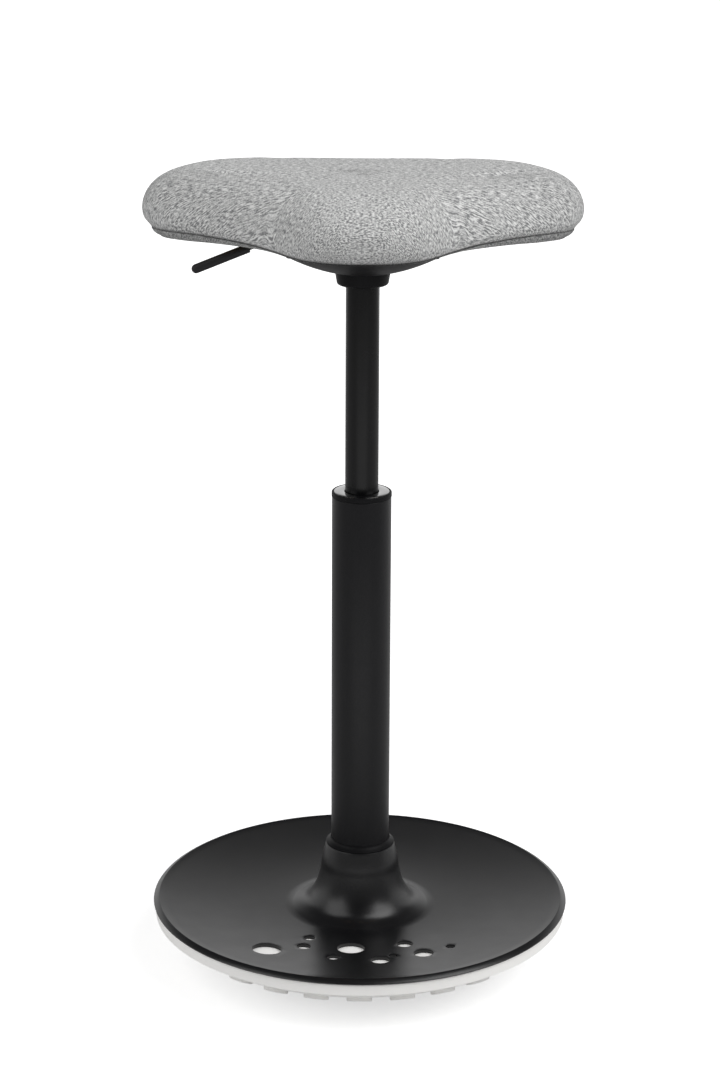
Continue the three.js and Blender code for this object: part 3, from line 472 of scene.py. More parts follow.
def natural_nylon():
    """Uncoloured moulded nylon: milky ivory that light enters a little."""
    material, tree, place = new_material("natural moulded nylon")
    flow = add(tree, "ShaderNodeTexNoise", {"Vector": place, "Scale": per(12), "Detail": 2.0})
    surface(tree, flow, (linear("#d8d2c0"), linear("#ece7d9")), {
        "Roughness": 0.4, "IOR": 1.53, "Subsurface Weight": 0.15, "Subsurface Scale": 1.5 * MM})
    return material


# Width of the knit's floats, and how many times as long as wide they are
STROKE_MM = 0.95
FLOAT_STRETCH = 4.2
# The knit's rows are rings about a point this far in front of the column, before the fabric was stretched
ROW_MIDDLE = 285 * MM
# Point attribute of shade painted into the knit's colour: in the seam's crease and on the underside below it
PAINTED_SHADE_ATTRIBUTE = "painted_seam_shade"
LAID_FLAT = "laid_flat"


def melange_knit(light, dark):
    """Polyester melange knit: pale and dark yarns whose short slanting floats lie in rows that bend round
    the nose. A float is about 0.8 mm wide, and is drawn a little coarser, so that it shows from where one
    stands. The laid_flat attribute holds the rows, and a second attribute darkens the colour with painted
    shade in the seam's crease and on the underside below it."""
    material, tree, place = new_material("light grey melange knit")
    flat = add(tree, "ShaderNodeAttribute", output="Vector", attribute_name=LAID_FLAT)
    parts = add(tree, "ShaderNodeSeparateXYZ", {"Vector": flat}).node.outputs
    turn = add(tree, "ShaderNodeMath", {0: parts["Y"], 1: parts["X"]}, operation="ARCTAN2")
    row = add(tree, "ShaderNodeVectorMath", {0: flat}, operation="LENGTH")
    course = add(tree, "ShaderNodeMath", {0: turn, 1: ROW_MIDDLE / FLOAT_STRETCH}, operation="MULTIPLY")
    laid = add(tree, "ShaderNodeCombineXYZ", {"X": row, "Y": course})
    floats = add(tree, "ShaderNodeTexNoise", {
        "Vector": laid, "Scale": per(STROKE_MM), "Detail": 1.0, "Roughness": 0.45})
    floats = add(tree, "ShaderNodeMapRange", {"Value": floats, "From Min": 0.36, "From Max": 0.64})
    patches = add(tree, "ShaderNodeTexNoise", {"Vector": laid, "Scale": per(7), "Detail": 2.0})
    worked = add(tree, "ShaderNodeMapRange", {
        "Value": patches, "From Min": 0.38, "From Max": 0.58, "To Min": 0.5, "To Max": 1.0})
    floats = add(tree, "ShaderNodeMix", {"Factor": worked, "A": 0.5, "B": floats}, data_type="FLOAT")
    drawn = add(tree, "ShaderNodeMapping", {"Vector": place, "Scale": (1.0, 0.35, 1.0)})
    fuzz = add(tree, "ShaderNodeTexNoise", {
        "Vector": drawn, "Scale": per(1.5), "Detail": 1.0, "Roughness": 0.6})
    fuzz = add(tree, "ShaderNodeMapRange", {"Value": fuzz, "From Min": 0.28, "From Max": 0.72})
    mixed = add(tree, "ShaderNodeMix", {"Factor": 0.3, "A": floats, "B": fuzz}, data_type="FLOAT")
    yarn = add(tree, "ShaderNodeMix", {
        "Factor": add(tree, "ShaderNodeMapRange", {"Value": mixed, "From Min": 0.22, "From Max": 0.78}),
        "A": dark, "B": light}, data_type="RGBA")
    # Painted shade: the base colour is darkened by this attribute in the seam's crease and on the underside,
    # darkest round the nose
    shade = add(tree, "ShaderNodeAttribute", output="Fac", attribute_name=PAINTED_SHADE_ATTRIBUTE)
    unshaded_share = add(tree, "ShaderNodeMapRange", {"Value": shade, "To Min": 1.0, "To Max": 0.0})
    shader = add(tree, "ShaderNodeBsdfPrincipled", {
        "Base Color": add(tree, "ShaderNodeVectorMath", {0: yarn, "Scale": unshaded_share}, operation="SCALE"),
        "Roughness": 0.95, "IOR": 1.45, "Sheen Weight": 0.15, "Sheen Roughness": 0.45,
        "Normal": add(tree, "ShaderNodeBump", {"Height": mixed, "Strength": 1.0, "Distance": 0.4 * MM})})
    add(tree, "ShaderNodeOutputMaterial", {"Surface": shader})
    return material


materials = {}


class STOOL_OT_finishes(bpy.types.Operator):
    """Make every material of the stool"""

    bl_idname = "stool.finishes"
    bl_label = "Finishes"

    def execute(self, context):
        scene = context.scene
        base, column, seat = scene.stool_base, scene.stool_column, scene.stool_seat
        plastic = tuple(column.plastic_colour)
        materials.update({
            "dish": moulded_plastic("moulded satin ABS", tuple(base.dish_colour), (0.27, 0.36), 0.9, 0.03),
            "black_plastic": moulded_plastic(
                "moulded black polypropylene", plastic, (0.42, 0.56), 0.7, 0.015, specular=0.12),
            "gloss_plastic": moulded_plastic(
                "polished black acetal", plastic, (0.06, 0.1), 0.5, 0.002, specular=1.0, coat=1.0),
            "sole": moulded_elastomer(tuple(base.sole_colour)),
            "powder": powder_coat(tuple(column.powder_colour)),
            "satin": satin_steel(tuple(column.satin_colour)),
            "zinc": bare_metal("zinc-plated steel", "#aeb3b8", 3, (0.28, 0.42), 0.01),
            "bright": bare_metal("ground bright steel", "#c3c4c6", 1.5, (0.14, 0.24), 0.005),
            "iron": sand_cast_iron(),
            "plywood": birch_plywood(),
            "rubber": cured_rubber(),
            "nylon": natural_nylon(),
            "knit": melange_knit(tuple(seat.yarn_light), tuple(seat.yarn_dark)),
        })
        return {"FINISHED"}


# Rocking base

# Radial and height shares of the trumpet that blends the column into the dish
TRUMPET_SHARES = [
    (0, 1), (0.11, 0.76), (0.15, 0.594), (0.266, 0.363), (0.41, 0.21), (0.603, 0.087), (1, 0)]
DISH_CURVE = 1.7
# Bubble holes: shares of the base radius for place across, place back and radius
BUBBLE_SHARES = [
    (-0.237, -0.424, 0.028), (0.212, -0.493, 0.038), (-0.261, -0.533, 0.033), (-0.04, -0.543, 0.065),
    (-0.121, -0.665, 0.031), (0.097, -0.699, 0.046), (0.155, -0.642, 0.021), (0.299, -0.618, 0.047),
    (0.426, -0.547, 0.023), (-0.432, -0.594, 0.07)]
NUB_RING_SHARES = [0.64, 0.835]
NUB_ROUND = 1.1 * MM
LIP_ROUND = 1.6 * MM
SOLE_WALL = 5 * MM
SOLE_EDGE = 0.8 * MM
# Ledge that the tray stands on
LEDGE_WIDTH = 6.3 * MM
LEDGE_RISE = 7.6 * MM
SOLE_SCREW_LENGTH = 22 * MM
SOLE_HEAD_BORE = 4.8 * MM
SOLE_SHANK_BORE = 2.8 * MM


def dish_height(base, radius):
    run = (radius - base.floor_radius) / (base.lip_radius - base.floor_radius)
    return base.floor_height + (base.lip_height - base.floor_height) * max(0, run) ** DISH_CURVE


class STOOL_OT_base_dish(bpy.types.Operator):
    """Turn the dish with its trumpet and rolled rim, and bore its bubble holes"""

    bl_idname = "stool.base_dish"
    bl_label = "Base dish"

    def execute(self, context):
        base = context.scene.stool_base
        high = top("base_dish")
        trumpet = through([
            (base.trumpet_radius + across * (base.floor_radius - base.trumpet_radius),
             base.floor_height + up * (high - base.floor_height)) for across, up in TRUMPET_SHARES], 6)
        bowl = [(radius, dish_height(base, radius))
                for radius in between(base.floor_radius, base.lip_radius - LIP_ROUND, 18)]
        upper = [tuple(point) for point in trumpet[:-1]] + bowl
        rim = [
            (base.lip_radius - LIP_ROUND * 0.2, base.lip_height + LIP_ROUND * 0.1),
            (base.lip_radius + LIP_ROUND * 0.6, base.lip_height - LIP_ROUND * 0.25),
            (base.radius - LIP_ROUND * 0.4, base.edge_height + LIP_ROUND * 0.9),
            (base.radius, base.edge_height + LIP_ROUND * 0.4),
            (base.radius - LIP_ROUND * 0.4, base.edge_height),
            (base.radius - base.wall, base.edge_height),
        ]
        lower = set_off(upper, base.wall)
        lower[0] = (base.trumpet_radius - base.wall, high)
        piece = turned("dish_moulding", upper + rim + lower[::-1])
        for across, back, size in BUBBLE_SHARES:
            bubble = posts([(across * base.radius, back * base.radius)], size * base.radius, 0, high, 40)
            combine(piece, bubble, "DIFFERENCE")
        round_edges(piece, 0.5 * MM, 2, 40)
        shade(piece)
        finish_piece(piece, materials["dish"], "base", "dish_plastic", "base_dish")
        return {"FINISHED"}


def roll_rise(base, radius, set_in):
    """Height of the rolling surface, or of one nested above it."""
    arc = base.roll_radius - set_in
    out = max(0.0, radius - base.flat_radius)
    return base.roll_radius - math.sqrt(arc * arc - out * out)


class STOOL_OT_sole(bpy.types.Operator):
    """Turn the rocking sole and set its rings of rounded nubs"""

    bl_idname = "stool.sole"
    bl_label = "Rocking sole"

    def execute(self, context):
        base = context.scene.stool_base
        sole_radius, rim_top = reach("rocker_sole"), top("rocker_sole")
        tray_radius = reach("rocker_tray") + GAP
        ledge_radius = tray_radius - LEDGE_WIDTH
        ledge_height = foot("rocker_tray") + LEDGE_RISE
        outer = [(radius, roll_rise(base, radius, base.nub_height))
                 for radius in between(base.flat_radius, sole_radius, 40)]
        inner = [(radius, roll_rise(base, radius, base.nub_height + SOLE_WALL))
                 for radius in between(base.flat_radius, ledge_radius, 20)]
        piece = turned("sole_moulding", [
            (0, 0), (base.flat_radius - base.nub_height, 0), *outer,
            (sole_radius, rim_top - SOLE_EDGE), (sole_radius - SOLE_EDGE, rim_top),
            (tray_radius, rim_top), (tray_radius, ledge_height), (ledge_radius, ledge_height),
            *inner[::-1], (0, base.nub_height + SOLE_WALL)])
        nubs = []
        for share in NUB_RING_SHARES:
            ring_radius = share * base.radius
            count = round(2 * math.pi * ring_radius / base.nub_pitch)
            tilt = math.asin((ring_radius - base.flat_radius) / base.roll_radius)
            nubs += [self.nub(base, x, y, tilt) for x, y in around(count, ring_radius, -math.pi / 2)]
        combine(piece, joined(nubs, "nubs"), "UNION")
        screws = around(4, sum(NUB_RING_SHARES) / 2 * base.radius)
        seat_height = top("sole_screw_1") - SOLE_SCREW_LENGTH
        combine(piece, posts(screws, SOLE_HEAD_BORE, -MM, seat_height + GAP), "DIFFERENCE")
        combine(piece, posts(screws, SOLE_SHANK_BORE, -MM, rim_top), "DIFFERENCE")
        shade(piece)
        finish_piece(piece, materials["sole"], "base", "sole_elastomer", "rocker_sole")
        return {"FINISHED"}

    def nub(self, base, x, y, tilt):
        """One round nub with a rolled edge, its end on the rolling surface."""
        depth = base.nub_height + SOLE_WALL / 2
        clear_selection()
        bpy.ops.mesh.primitive_cylinder_add(vertices=28, radius=base.nub_radius, depth=depth)
        piece = bpy.context.object
        round_edges(piece, NUB_ROUND)
        radius = math.hypot(x, y)
        matrix = (Matrix.Rotation(math.atan2(y, x), 4, "Z")
                  @ Matrix.Translation((radius, 0, roll_rise(base, radius, 0)))
                  @ Matrix.Rotation(-tilt, 4, "Y") @ Matrix.Translation((0, 0, depth / 2)))
        return place_mesh(piece, matrix)


# Column

RING_STEP = 0.8 * MM
TUBE_FOOT_INSET = 1.6 * MM
TUBE_FLOOR = 3 * MM
TUBE_BORE = 4.3 * MM
CAP_EDGE = 0.7 * MM
CAP_NECK_RADIUS = 15.6 * MM
CAP_LIP_RADIUS = 23.7 * MM
CAP_LEDGE_DROP = 2.4 * MM
GUIDE_EDGE = 0.4 * MM
CYLINDER_FOOT_BORE = 9 * MM
CYLINDER_FLOOR = 2 * MM
CYLINDER_EDGE = 0.8 * MM
# The cylinder's head is bored for the release pin
PIN_BORE = 3.8 * MM
HEAD_DEPTH = 10 * MM
TAPER_ANGLE = math.radians(1.43)
COLLAR_FLOOR = 2 * MM


class STOOL_OT_column(bpy.types.Operator):
    """Turn the foot ring, stand tube, cap, guide and gas cylinder"""

    bl_idname = "stool.column"
    bl_label = "Column"

    def execute(self, context):
        base, column = context.scene.stool_base, context.scene.stool_column
        tube_radius, rod = reach("stand_tube"), reach("gas_cylinder")
        wall = column.tube_wall
        self.foot_ring(base.trumpet_radius, tube_radius)
        tube_foot, tube_top = foot("stand_tube"), top("stand_tube")
        tube_floor = tube_foot + TUBE_FLOOR
        foot_radius = tube_radius - TUBE_FOOT_INSET
        self.turn("column_stand_tube", [
            (TUBE_BORE, tube_foot), (foot_radius, tube_foot), (tube_radius, column.tube_taper_height),
            (tube_radius, tube_top), (tube_radius - wall, tube_top),
            (tube_radius - wall, column.tube_taper_height), (foot_radius - wall, tube_floor),
            (TUBE_BORE, tube_floor),
        ], 0.4 * MM, "powder", "base", "powder_steel", "stand_tube")
        cap_foot, cap_top, flange = foot("tube_cap"), top("tube_cap"), reach("tube_cap")
        ledge = cap_top - CAP_LEDGE_DROP
        inside = tube_radius - wall - GAP
        self.turn("column_tube_cap", [
            (CAP_NECK_RADIUS + GAP, cap_foot), (inside, cap_foot), (inside, tube_top + GAP),
            (flange, tube_top + GAP), (flange, cap_top - CAP_EDGE), (flange - CAP_EDGE, cap_top),
            (CAP_LIP_RADIUS, cap_top), (CAP_LIP_RADIUS, ledge), (CAP_NECK_RADIUS + GAP, ledge),
        ], 0.2 * MM, "black_plastic", "base", "black_plastic", "tube_cap")
        guide_foot, head = foot("guide_sleeve"), CAP_LIP_RADIUS - GAP
        self.turn("column_guide", [
            (rod + GAP, guide_foot), (inside, guide_foot), (inside, cap_foot - GAP),
            (CAP_NECK_RADIUS, cap_foot - GAP), (CAP_NECK_RADIUS, ledge + GAP), (head, ledge + GAP),
            (head, cap_top - GUIDE_EDGE), (head - GUIDE_EDGE / 4, cap_top - GUIDE_EDGE / 4),
            (head - GUIDE_EDGE, cap_top), (rod + 3 * GAP, cap_top), (rod + GAP, cap_top - 3 * GAP),
        ], 0.2 * MM, "gloss_plastic", "base", "black_plastic", "guide_sleeve")
        low, high = foot("gas_cylinder"), top("gas_cylinder")
        collar_floor = foot("collar_cup") + COLLAR_FLOOR
        tapered = rod - (high - collar_floor) * math.tan(TAPER_ANGLE)
        self.turn("column_gas_cylinder", [
            (CYLINDER_FOOT_BORE, low), (rod, low), (rod, collar_floor),
            (tapered, high - CYLINDER_EDGE), (tapered - CYLINDER_EDGE, high), (PIN_BORE, high),
            (PIN_BORE, high - HEAD_DEPTH), (rod - wall, high - HEAD_DEPTH),
            (rod - wall, low + CYLINDER_FLOOR), (CYLINDER_FOOT_BORE, low + CYLINDER_FLOOR),
        ], 0.5 * MM, "satin", "seat", "satin_steel", "gas_cylinder")
        return {"FINISHED"}

    def foot_ring(self, mouth, tube_radius):
        """The ring at the tube's foot, hollowed from its step up to the tube."""
        low, high = foot("foot_ring"), top("foot_ring")
        step, inner = low + RING_STEP, tube_radius + 2 * GAP
        hollow = [(inner + (mouth - inner) * (1 - share) ** 2, step + (high - step) * share)
                  for share in between(0.1, 1, 6)]
        self.turn("column_foot_ring", [
            (tube_radius + GAP, low), (mouth, low), (mouth, step), *hollow, (tube_radius + GAP, high),
        ], 0.25 * MM, "black_plastic", "base", "black_plastic", "foot_ring")

    def turn(self, name, profile, edge, material, body, slot, node):
        piece = turned(name, profile, COLUMN_STEPS)
        round_edges(piece, edge)
        shade(piece)
        finish_piece(piece, materials[material], body, slot, node)


# Collar and bowl under the seat

COLLAR_WALL = 4.5 * MM
COLLAR_ROUND = 2.4 * MM
COLLAR_TAPER = 1.4 * MM
COLLAR_SHOULDER = 10.5 * MM
BOWL_WALL = 2.5 * MM
BOWL_RISE = 25.5 * MM
BOWL_FOOT = 9 * MM
BOWL_STEPS = 24
COVER_SCREW_RADIUS = 66 * MM
# Radii of the screw bosses, of the sinks for the heads and of the holes for the shanks
BOSS, HEAD_SINK, SHANK_HOLE = 4.6 * MM, 3.9 * MM, 1.9 * MM
SINK_DEPTH = 3.4 * MM
# The lever's slot: width, start from the axis, drop below the pivot and cut above the rim
SLOT_WIDTH, SLOT_START, SLOT_DROP, SLOT_OVER = 16 * MM, 62 * MM, 10 * MM, 8 * MM


class STOOL_OT_underside(bpy.types.Operator):
    """Turn the collar cup and the bowl, with the bowl's screw bosses and the slot for the lever"""

    bl_idname = "stool.underside"
    bl_label = "Collar and bowl"

    def execute(self, context):
        low, high, radius = foot("collar_cup"), top("collar_cup"), reach("collar_cup")
        rod = reach("gas_cylinder")
        foot_radius = radius - COLLAR_TAPER
        rolled = [
            (foot_radius - COLLAR_ROUND * (1 - math.sin(turn)), low + COLLAR_ROUND * (1 - math.cos(turn)))
            for turn in between(0, math.pi / 2, 8)]
        collar = turned("collar_moulding", [
            (rod + 2 * GAP, low), *rolled, (radius, low + COLLAR_SHOULDER), (radius, high),
            (rod + COLLAR_WALL, high), (rod + COLLAR_WALL, low + COLLAR_FLOOR),
            (rod + 2 * GAP, low + COLLAR_FLOOR)], COLUMN_STEPS)
        round_edges(collar, context.scene.stool_column.edge_round)
        shade(collar)
        finish_piece(collar, materials["black_plastic"], "seat", "black_plastic", "collar_cup")
        self.bowl(low, radius + GAP)
        return {"FINISHED"}

    def bowl(self, collar_foot, mouth):
        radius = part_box("bowl_cover")[1].y
        rim_top = top("bowl_cover")

        def height(out):
            return collar_foot + BOWL_FOOT + BOWL_RISE * (out / radius) ** 2

        outer = [(out, height(out)) for out in between(mouth, radius, BOWL_STEPS)]
        inner = [(out, height(out) + BOWL_WALL) for out in between(mouth, radius - BOWL_WALL, BOWL_STEPS)]
        bowl = turned("bowl_moulding", [
            *outer, (radius, rim_top), (radius - BOWL_WALL, rim_top), *inner[::-1]])
        screws = around(3, COVER_SCREW_RADIUS, math.pi / 2)
        at_screw = height(COVER_SCREW_RADIUS)
        combine(bowl, posts(screws, BOSS, at_screw + BOWL_WALL / 2, rim_top), "UNION")
        combine(bowl, posts(screws, HEAD_SINK, collar_foot, at_screw + SINK_DEPTH), "DIFFERENCE")
        combine(bowl, posts(screws, SHANK_HOLE, collar_foot, rim_top + BOWL_WALL), "DIFFERENCE")
        slot_foot = joints["lever_lift"]["pos_m"][2] - SLOT_DROP
        slot_height = rim_top - slot_foot + SLOT_OVER
        clear_selection()
        bpy.ops.mesh.primitive_cube_add(size=1)
        slot = place_mesh(bpy.context.object, Matrix.Diagonal((radius, SLOT_WIDTH, slot_height, 1)))
        round_edges(slot, 2 * MM)
        place_mesh(slot, Matrix.Rotation(-lever_yaw(), 4, "Z") @ Matrix.Translation(
            (-SLOT_START - radius / 2, 0, slot_foot + slot_height / 2)))
        combine(bowl, slot, "DIFFERENCE")
        round_edges(bowl, 0.35 * MM, 2, 40)
        shade(bowl)
        finish_piece(bowl, materials["black_plastic"], "seat", "black_plastic", "bowl_cover")


# Release lever

# Distances along the lever from the column's axis, and how steeply it falls past its bend
LEVER_START = -4 * MM
LEVER_BEND = 80 * MM
LEVER_REACH = 137.5 * MM
LEVER_FALL = math.radians(22.7)
LEVER_ROD = 2.2 * MM
BEND_HALF = 6 * MM
BARREL_RADIUS, BARREL_WIDTH = 4.6 * MM, 8 * MM
PIVOT_BORE = 1.8 * MM
SLEEVE_START = 94 * MM
SLEEVE_RADIUS = 3.9 * MM
SLEEVE_MOUTH_ROUND = 0.4 * MM


def lever_yaw():
    """How far the lever is turned about the column, from its joint's axis."""
    axis = joints["lever_lift"]["axis"]
    return math.atan2(axis[0], axis[1])


class STOOL_OT_lever(bpy.types.Operator):
    """Bend the release lever from rod, weld its barrel and push on its sleeve"""

    bl_idname = "stool.lever"
    bl_label = "Release lever"

    def execute(self, context):
        pivot = Vector(joints["lever_lift"]["pos_m"])
        pivot_out = math.hypot(pivot.x, pivot.y)
        turn = Matrix.Rotation(-lever_yaw(), 4, "Z")
        slope = math.tan(LEVER_FALL)
        before = [(LEVER_START, 0), (LEVER_BEND - 2 * BEND_HALF, 0), (LEVER_BEND - BEND_HALF, 0)]
        after = [(LEVER_BEND + BEND_HALF, BEND_HALF * slope),
                 (LEVER_REACH, (LEVER_REACH - LEVER_BEND) * slope)]
        bend = [self.bezier(share, before[-1], (LEVER_BEND, 0), after[0]) for share in between(0, 1, 8)]
        line = before[:-1] + bend + after[1:]
        rod = self.sweep([Vector((-out, 0, pivot.z - drop)) for out, drop in line])
        barrel = self.cross_cylinder(BARREL_RADIUS, BARREL_WIDTH, -pivot_out, pivot.z, 48)
        combine(rod, barrel, "UNION")
        bore = self.cross_cylinder(PIVOT_BORE, BARREL_WIDTH + 2 * MM, -pivot_out, pivot.z, 32)
        combine(rod, bore, "DIFFERENCE")
        round_edges(rod, 0.3 * MM, 2, 50)
        shade(rod)
        place_mesh(rod, turn)
        finish_piece(rod, materials["satin"], "lever", "satin_steel", "release_lever")
        self.sleeve(pivot.z, slope, turn)
        return {"FINISHED"}

    def bezier(self, share, start, knee, end):
        first, second = Vector(start).lerp(knee, share), Vector(knee).lerp(end, share)
        return tuple(first.lerp(second, share))

    def sweep(self, line):
        """A round bar along the line, as a bent rod."""
        clear_selection()
        bpy.ops.curve.primitive_nurbs_path_add()
        bar = bpy.context.object
        bar.data.splines.clear()
        spline = bar.data.splines.new("POLY")
        spline.points.add(len(line) - 1)
        for point, place in zip(spline.points, line):
            point.co = (*place, 1)
        bar.data.bevel_depth = LEVER_ROD
        bar.data.bevel_resolution = 7
        bar.data.use_fill_caps = True
        bpy.ops.object.convert(target="MESH")
        bar = named("lever_rod")
        make_active(bar)
        bpy.ops.object.mode_set(mode="EDIT")
        bpy.ops.mesh.select_all(action="SELECT")
        bpy.ops.mesh.remove_doubles(threshold=MERGE_DISTANCE)
        bpy.ops.mesh.normals_make_consistent(inside=False)
        bpy.ops.object.mode_set(mode="OBJECT")
        return bar

    def cross_cylinder(self, radius, width, x, z, steps):
        clear_selection()
        bpy.ops.mesh.primitive_cylinder_add(
            vertices=steps, radius=radius, depth=width, location=(x, 0, z), rotation=(math.pi / 2, 0, 0))
        return named("cross_cylinder")

    def sleeve(self, height, slope, turn):
        """Moulded sleeve with a rounded tip and a rolled mouth."""
        long = (LEVER_REACH - SLEEVE_START) / math.cos(LEVER_FALL) + SLEEVE_RADIUS
        tip = [(SLEEVE_RADIUS * math.cos(angle), long - SLEEVE_RADIUS * (1 - math.sin(angle)))
               for angle in between(0, math.pi / 2, 8)]
        bore = LEVER_ROD + GAP
        piece = turned("lever_sleeve_moulding", [
            (bore, 0), (SLEEVE_RADIUS - SLEEVE_MOUTH_ROUND / 2, 0), (SLEEVE_RADIUS, SLEEVE_MOUTH_ROUND),
            *tip[:-1], (0, long), (0, long - SLEEVE_RADIUS + GAP), (bore, long - SLEEVE_RADIUS + GAP)], 40)
        shade(piece)
        place_mesh(piece, turn @ Matrix.Translation(
            (-SLEEVE_START, 0, height - (SLEEVE_START - LEVER_BEND) * slope))
            @ Matrix.Rotation(-math.pi / 2 - LEVER_FALL, 4, "Y"))
        finish_piece(piece, materials["rubber"], "lever", "black_rubber", "lever_sleeve")


# Saddle seat

# Half of the crease line from nose to back, as shares of the half width and the reaches
CREASE_SHARES = [
    (0, -1), (0.125, -0.985), (0.244, -0.893), (0.33, -0.736), (0.415, -0.529), (0.517, -0.322),
    (0.642, -0.132), (0.773, 0.033), (0.892, 0.156), (0.972, 0.254), (1, 0.36), (0.977, 0.574),
    (0.881, 0.803), (0.71, 0.943), (0.455, 0.992), (0, 1)]
# Side of the pad from crown to hem: draw-in as a share of the bulge, height of the pad's height
SIDE_SHARES = [
    (3.75, 0.982), (1.7, 0.9), (0.35, 0.77), (-0.6, 0.58), (-1, 0.35), (-0.8, 0.17), (-0.12, 0.04)]
# The crown inside that: share of the way in to the middle, height of the pad's height
CROWN_SHARES = [
    (1, 1.012), (0.8, 1.012), (0.62, 1.011), (0.45, 1.007), (0.3, 1.0), (0.17, 0.994), (0.07, 0.988)]
# The band under the crease: draw-in as a share of the bulge, drop of the band's height, share of the tuck
BAND_SHARES = [(0.1, 0.25, 0.1), (0.42, 0.68, 0.5), (0.95, 0.95, 0.9), (1.4, 1, 1), (1.8, 0.75, 1)]
# The band's height at the nose as a share of that at the wings, and where along a wing it is full
NOSE_BAND_SHARE = 0.15
FULL_BAND_SHARE = 0.86
NOSE_TUCK_POWER = 4
CREASE_DEPTH = 3.0 * MM
TIP_CREASE_SHARE = 0.35
HEM_DRAW_IN = 16 * MM
HEM_THICKNESS = 0.6 * MM
# How far the knit was pulled straight forward or back over the side, and not square to the outline, and
# how far a side has to face forward or back for all of that
STRAIGHT_SHARE = 0.5
STRAIGHT_FACING = 0.5
PAN_INSET = 9.2 * MM
SIM_FRAMES = 20
CLOTH_SETTINGS = {
    "quality": 6, "mass": 0.25, "tension_stiffness": 12, "compression_stiffness": 12,
    "bending_stiffness": 1.5, "use_pressure": True, "uniform_pressure_force": 3, "vertex_group_mass": "sewn"}
# Rings above the crease over which the swell fades out
SEAM_RINGS = 8
# Rings that the seam's gathers reach above and below the crease, their depth, and how close they stand
GATHER_RINGS, GATHER_RINGS_BELOW = 6, 3
GATHER_DEPTH = 0.7 * MM
GATHER_PITCH = 9
# Painted shade: how dark the rings at the crease are painted, and the underside below them, with what its
# nose adds
CREASE_SHADES = {-1: 0.25, 0: 0.85}
UNDER_SHADE, NOSE_SHADE, NOSE_SHADE_POWER = 0.42, 0.5, 8


